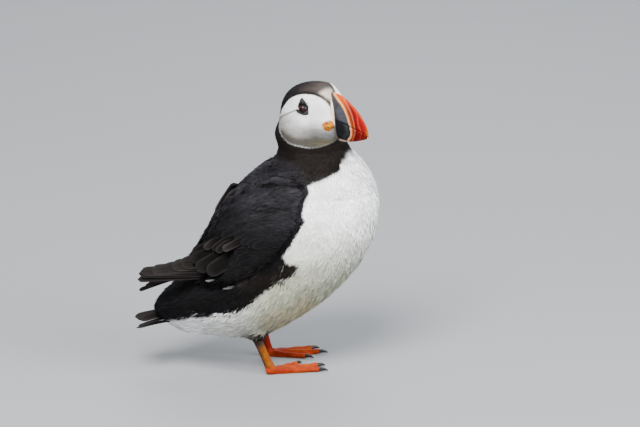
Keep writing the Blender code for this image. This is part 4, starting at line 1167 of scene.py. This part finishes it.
def bill_rim():
    """The fleshy cream ridge that frames the bill's base."""
    around, across = 120, 12
    turn = np.linspace(0, 2 * math.pi, around, endpoint=False)[None, :]
    s = np.linspace(0, 1, across)[:, None]
    swell = -0.4 + 1.2 * np.sin(math.pi * s) ** 0.6
    lumps = 1 + 0.12 * np.sin(turn * 23) * np.sin(turn * 9) + 0.05 * np.sin(turn * 41 + s * 5)
    swell = swell * lumps * between(0.55, 1.0, smooth(-0.45, -0.1, np.cos(turn)))
    u = (BILL_TOP + BILL_BOTTOM) / 2 + np.cos(turn) * ((BILL_TOP - BILL_BOTTOM) / 2 + swell * 0.9)
    l = np.sin(turn) * (BILL_HALF_WIDTH + swell)
    verts = in_head(base_f(np.minimum(u, BILL_TOP)) - (2.5 - 2.1 * s), l, u)
    # the brown strip at the ridge's back, below its top, is a painted shadow line behind the ridge
    cream = layered((0.72, 0.56, 0.42), ((0.40, 0.31, 0.25), smooth(11, 18, u)),
                    ((0.22, 0.12, 0.07), smooth(0.38, 0.22, s) * smooth(16, 11, u)),
                    ((0.20, 0.16, 0.13), smooth(0.9, 1.0, s)),
                    ((0.035, 0.028, 0.028), smooth(-2.0, -5.5, u) * between(0.75, 1.0, s)))
    cream = cream * (1 + 0.12 * wobble(verts, 1.2, 3))[..., None]
    return verts.reshape(-1, 3), grid_faces(across, around, wrap=True), np.clip(cream, 0, 1).reshape(-1, 3)


flesh_mat = horn_material("fleshy_skin", 0.6, 0.6, 420, 0.18, 0.15)
verts, faces, colours = bill_rim()
build("bill_rim_ridge", verts, faces, flesh_mat, colours, "cream_horn", ("bill_rim",))


def globe(centre, radii, axis, rings, around, shape):
    """An ellipsoid with its pole along axis: points, faces, polar angle and turn."""
    axis = unit(np.asarray(axis, float))
    first = unit(np.cross(axis, U_AXIS))
    second = np.cross(axis, first)
    polar, turn = np.meshgrid(np.linspace(0.001, math.pi - 0.001, rings),
                              np.linspace(0, 2 * math.pi, around, endpoint=False), indexing="ij")
    r = shape(polar, turn)
    along, across = np.cos(polar) * r, np.sin(polar) * r
    local = (axis * along[..., None] * radii[0] + first * (across * np.cos(turn))[..., None] * radii[1]
             + second * (across * np.sin(turn))[..., None] * radii[2])
    return (centre + local).reshape(-1, 3), grid_faces(rings, around, wrap=True)[:, ::-1], polar, turn


def tube(path, radii):
    """A closed tube along a path, narrower than high."""
    around = 18
    way = unit(np.gradient(path, axis=0))
    side = unit(np.cross(way, (0.0, 0.03, 1.0)))
    up = np.cross(side, way)
    turn = np.linspace(0, 2 * math.pi, around, endpoint=False)[None, :, None]
    ring = side[:, None] * np.cos(turn) * 0.85 + up[:, None] * np.sin(turn)
    verts = path[:, None] + ring * radii[:, None, None]
    verts = np.concatenate([verts.reshape(-1, 3), path[:1], path[-1:]])
    i = np.arange(around)
    j = (i + 1) % around
    total = len(path) * around
    caps = np.concatenate([stacked(i, j, total), stacked(j + total - around, i + total - around, total + 1)])
    return verts, [grid_faces(len(path), around, wrap=True)[:, ::-1], caps]


verts, faces = arrays(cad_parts["head"].data)
HEAD_TREE = BVHTree.FromPolygons(verts.tolist(), faces)


def face_depth(side, f, u):
    """How far from the head's middle plane its side lies at (f, u)."""
    start = in_head(f, side * 40.0, u)
    place = HEAD_TREE.ray_cast(Vector(start), Vector(-L_AXIS * side))[0]
    return float(to_head(np.array(place))[1]) * side if place else 20.0


def pillow(side, outline, high):
    """A raised plate on the side of the face, with an outline in (f, u)."""
    outline = closed(outline, 6)
    middle = outline.mean(0)
    verts, rings = [], 7
    for k in range(rings):
        s = k / (rings - 1)
        rise = high * math.sqrt(max(0.0, 1 - (1 - s) ** 2)) - 0.7 * (1 - min(1, s * 6))
        for f, u in outline + (middle - outline) * (s * 0.97):
            verts.append(in_head(f, side * (face_depth(side, f, u) + rise), u))
    faces = grid_faces(rings, len(outline), wrap=True)
    return np.array(verts), faces if side < 0 else faces[:, ::-1]


eye_mat = horn_material("eye_surface", 0.2, 0.0, 800, 0.05, 0.16, 0.05)
ornament_mat = horn_material("eye_ornament", 0.6, 0.4, 700, 0.2, 0.25)
RING_RADIUS, RING_WIDTH = 2.9, 0.42
# The plates above and below each eye: outlines as (f, u) from its middle.
EYE_PLATES = {
    "upper": ((-3.0, 6.5), (-1.6, 6.3), (0.3, 5.0), (2.2, 3.3), (3.7, 1.2), (4.0, -1.0), (2.0, 0.0),
              (-2.4, -0.4), (-3.7, -0.2), (-3.6, 2.4), (-3.4, 4.6)),
    "lower": ((-5.4, -1.5), (-3.6, -1.6), (-2.0, -1.5), (1.0, -2.0), (3.2, -1.6), (4.3, -1.2), (4.8, -3.0),
              (4.5, -4.6), (1.6, -4.7), (-1.6, -4.1), (-4.6, -2.9)),
}


def wrinkled(polar, turn):
    """The rosette's reach each way, as a share of a smooth one's."""
    way = stacked(np.cos(turn) * np.sin(polar), np.sin(turn) * np.sin(polar), np.cos(polar))
    folds = 0.04 * np.cos(polar * 11 + np.sin(turn * 2) * 2) * np.sin(polar)
    return 1 + 0.17 * wobble(way, 0.8, 33) + folds


for name, side in (("right", -1), ("left", 1)):
    verts, faces, polar, turn = globe(EYES[name] - SHIFT - U_AXIS * 0.8, (EYE_RADIUS,) * 3,
                                      L_AXIS * side + F_AXIS * 0.16 - U_AXIS * 0.02, 40, 56,
                                      lambda p, t: 1 + 0.05 * np.exp(-(p / 0.6) ** 2))
    iris = mix((0.018, 0.003, 0.002), (0.036, 0.004, 0.003),
               smooth(0.45, 0.62, polar) * (0.7 + 0.3 * np.sin(turn * 23)))
    colour = layered((0.003, 0.002, 0.002), (iris, smooth(0.36, 0.44, polar)),
                     ((0.004, 0.003, 0.003), smooth(0.72, 0.84, polar)))
    build(f"eyeball_{name}", verts, faces, eye_mat, colour.reshape(-1, 3), "eye", (f"eye_{name}",))
    # the dark ring of the lids round the eye
    a, b = np.meshgrid(np.linspace(0, 2 * math.pi, 64, endpoint=False),
                       np.linspace(0, 2 * math.pi, 12, endpoint=False), indexing="ij")
    reach = RING_RADIUS + np.cos(b) * (RING_WIDTH * (1 + 0.10 * np.sin(a * 17) + 0.1 * np.cos(a * 2)))
    l = side * (face_depth(side, EYE_F, EYE_U) + 0.15 + np.sin(b) * 0.5) - side * (0.35 * np.cos(a))
    ring = in_head(EYE_F + np.cos(a) * reach * 1.04, l, EYE_U - 0.8 + np.sin(a) * reach * 0.95)
    red = mix((0.035, 0.009, 0.008), (0.012, 0.006, 0.006), 0.5 + 0.5 * np.cos(b))
    build(f"eye_ring_{name}", ring.reshape(-1, 3), grid_faces(64, 12, wrap=True, ring=True), ornament_mat,
          red.reshape(-1, 3), "gape_skin")
    for kind, outline in EYE_PLATES.items():
        verts, faces = pillow(side, [(EYE_F + df, EYE_U + du) for df, du in outline], 0.8)
        grey = np.array((0.010, 0.011, 0.012)) * (1 + 0.3 * wobble(verts, 1.1, 5))[:, None]
        build(f"eye_{kind}_plate_{name}", verts, faces, ornament_mat, grey, "ornament",
              (f"eye_{kind}_ornament_{name}",))
    # the wrinkled rosette at the corner of the gape
    verts, faces, polar, turn = globe(in_head(-4.7, side * 9.4, -3.9), (2.9, 4.7, 4.2),
                                      L_AXIS * side + F_AXIS * 0.5, 44, 96, wrinkled)
    fold = wobble(verts, 1.7, 21)
    colour = layered((0.30, 0.080, 0.001), ((0.50, 0.20, 0.002), smooth(-0.6, 0.7, fold)),
                     ((0.05, 0.014, 0.002), smooth(0.1, 0.5, wobble(verts, 1.1, 22)) * 0.85),
                     ((0.30, 0.085, 0.008), smooth(1.0, 1.4, polar.ravel() + 0.15 * fold)))
    build(f"gape_rosette_{name}", verts, faces, flesh_mat, colour, "gape_skin", (f"gape_{name}",))

# ---------------------------------------------------------------- legs and feet

LEGS = ("shank_right", "shank_left", "foot_right", "foot_left")
leg_verts, leg_faces = map(np.array, arrays(remeshed(LEGS, 0.5)))
leg_verts = relaxed(leg_verts, leg_faces, 5, 0.4)


def leg_tint(points):
    """The legs' orange, with paler webs, streaks of painted highlight, darker behind, painted shade in
    creases, and the far shank redder and darker as painted shade.
    """
    p = np.asarray(points, float)
    x, y, z = p.T
    near = y < 0
    # the far leg's shank is redder and darker than the near one's: painted shade
    tarsus = np.where(near[:, None], (0.17, 0.046, 0.001), (0.15, 0.007, 0.0))
    rear = smooth(1.5, -3.0, x + (z - 5) * 0.35 - np.where(near, -2.0, 3.0) + wobble(p, 3, 17))
    orange = layered((0.25, 0.030, 0.0), ((0.19, 0.014, 0.0), smooth(-0.5, 0.9, wobble(p, 7, 2))),
                     ((0.25, 0.028, 0.0), smooth(2.3, 1.3, z) * 0.6),
                     # paler streaks: painted highlights
                     ((0.30, 0.075, 0.003), smooth(0.2, 1.0, wobble(p * (0.5, 1, 1), 4, 12)) * 0.5),
                     (tarsus, smooth(3, 8, z)),
                     ((0.050, 0.026, 0.014), rear * smooth(4, 8, z) * np.where(near, 0.9, 0.25)),
                     ((0.030, 0.020, 0.015), smooth(18.5, 23.0, z + 1.5 * wobble(p, 3, 7)) * near))
    # painted shade in the skin's creases
    crease_shade = smooth(0.55, 0.95, np.sin(wobble(p, 2.2, 4) * 6))
    return np.clip(mix(orange, orange * 0.72, crease_shade * 0.5), 0.004, 1)


leg_mat = horn_material("bare_leg", 0.55, 0.0, 300, 0.16, 0.05)
nodes = leg_mat.node_tree.nodes
scales = nodes.new("ShaderNodeTexVoronoi")
scales.feature, scales.inputs["Scale"].default_value = "DISTANCE_TO_EDGE", 750.0
plug(scales.inputs["Vector"], nodes.new("ShaderNodeTexCoord").outputs["Object"])
bump = next(node for node in nodes if node.type == "BUMP")
plug(bump.inputs["Strength"], 0.8)
plug(bump.inputs["Height"], scales.outputs["Distance"])

verts = np.concatenate([skin_verts, leg_verts])
faces = np.concatenate([skin_faces, leg_faces + len(skin_verts)])
# the skin under the coat takes the markings darkened to 0.85, as painted shade in the gaps between the
# feathers
tint = np.concatenate([markings(skin_verts) * 0.85, leg_tint(leg_verts)])
skin_mat = plumage_material("skin", 0.8, 0.05, 0.1)
skin = build("skin", verts, faces, skin_mat, tint, "white_plumage", FLESH + LEGS,
             vane=np.zeros((len(verts), 2)))
skin.data.materials.append(leg_mat)
on_leg = np.repeat((0, 1), (len(skin_faces), len(leg_faces)))
skin.data.polygons.foreach_set("material_index", on_leg.astype(np.int32))

claw_mat = horn_material("claw_horn", 0.4, 0.2, 600, 0.2, 0.2, 0.1)
CLAW_HEIGHT, CLAW_LENGTH = 1.9, 7.2
for side, forward, outward in (("right", 20.0, 1), ("left", 2.0, -1)):
    for toe, splay in (("outer", -17.0), ("middle", 1.0), ("inner", 24.0)):
        low, high = (np.array(corner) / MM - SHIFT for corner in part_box(f"claw_{toe}_{side}"))
        middle = (low + high) / 2
        middle[2] = CLAW_HEIGHT
        angle = math.radians(forward + splay * outward)
        way = np.array((math.cos(angle), math.sin(angle), 0.0))
        s = np.linspace(0, 1, 14)[:, None]
        path = middle - way * 3.9 + way * CLAW_LENGTH * s
        path = path + U_AXIS * (0.35 * np.sin(math.pi * s) - 1.15 * s ** 2.4)
        verts, faces = tube(path, 1.45 * (1 - s[:, 0] ** 1.6) ** 0.8 + 0.12)
        dark = np.array((0.012, 0.010, 0.010)) * (1 + 0.3 * wobble(verts, 1.0, 2))[:, None]
        build(f"claw_horn_{toe}_{side}", verts, faces, claw_mat, dark, "claw", (f"claw_{toe}_{side}",))

# ---------------------------------------------------------------- camera, floor, lights

CAMERA_AWAY = 3000
back = unit(np.array((-0.1014, -0.965, 0.242)))
right = unit(np.cross((0, 0, 1), back))
top = np.cross(back, right)
target = right * 37.44 + top * 109.03
camera = placed("camera", bpy.data.cameras.new("camera"))
camera.data.lens, camera.data.sensor_width = 234, 36
camera.location = row(target + back * CAMERA_AWAY)
camera.rotation_euler = Matrix((right, top, back)).transposed().to_euler()
bpy.context.scene.camera = camera


LIT_POINT = (0, 0, 0.1)  # in metres, as the lamps' places are


def lamp(name, place, size, watts, colour=(1, 1, 1)):
    light = bpy.data.lights.new(name, "AREA")
    light.size, light.energy, light.color = size, watts, colour
    obj = placed(name, light)
    obj.location = place
    obj.rotation_euler = (Vector(LIT_POINT) - obj.location).to_track_quat("-Z", "Y").to_euler()


lamp("key", (-0.5, -1.3, 1.6), 0.9, 122, (1.0, 0.98, 0.95))
lamp("fill", (1.4, -1.0, 0.9), 1.2, 62, (0.96, 0.98, 1.0))
lamp("rim", (0.3, 1.5, 1.3), 1.0, 28)

world = bpy.data.worlds.new("studio")
world.use_nodes = True
sky = world.node_tree.nodes["Background"].inputs
sky["Color"].default_value, sky["Strength"].default_value = (0.80, 0.82, 0.85, 1), 0.95
bpy.context.scene.world = world

floor_mesh = bpy.data.meshes.new("floor")
floor_mesh.from_pydata([(-6, -6, 0), (6, -6, 0), (6, 6, 0), (-6, 6, 0)], [], [(0, 1, 2, 3)])
floor_mesh.materials.append(nodes_of("floor", 0.9, base=(0.21, 0.22, 0.235))[0])
floor = placed("floor", floor_mesh)
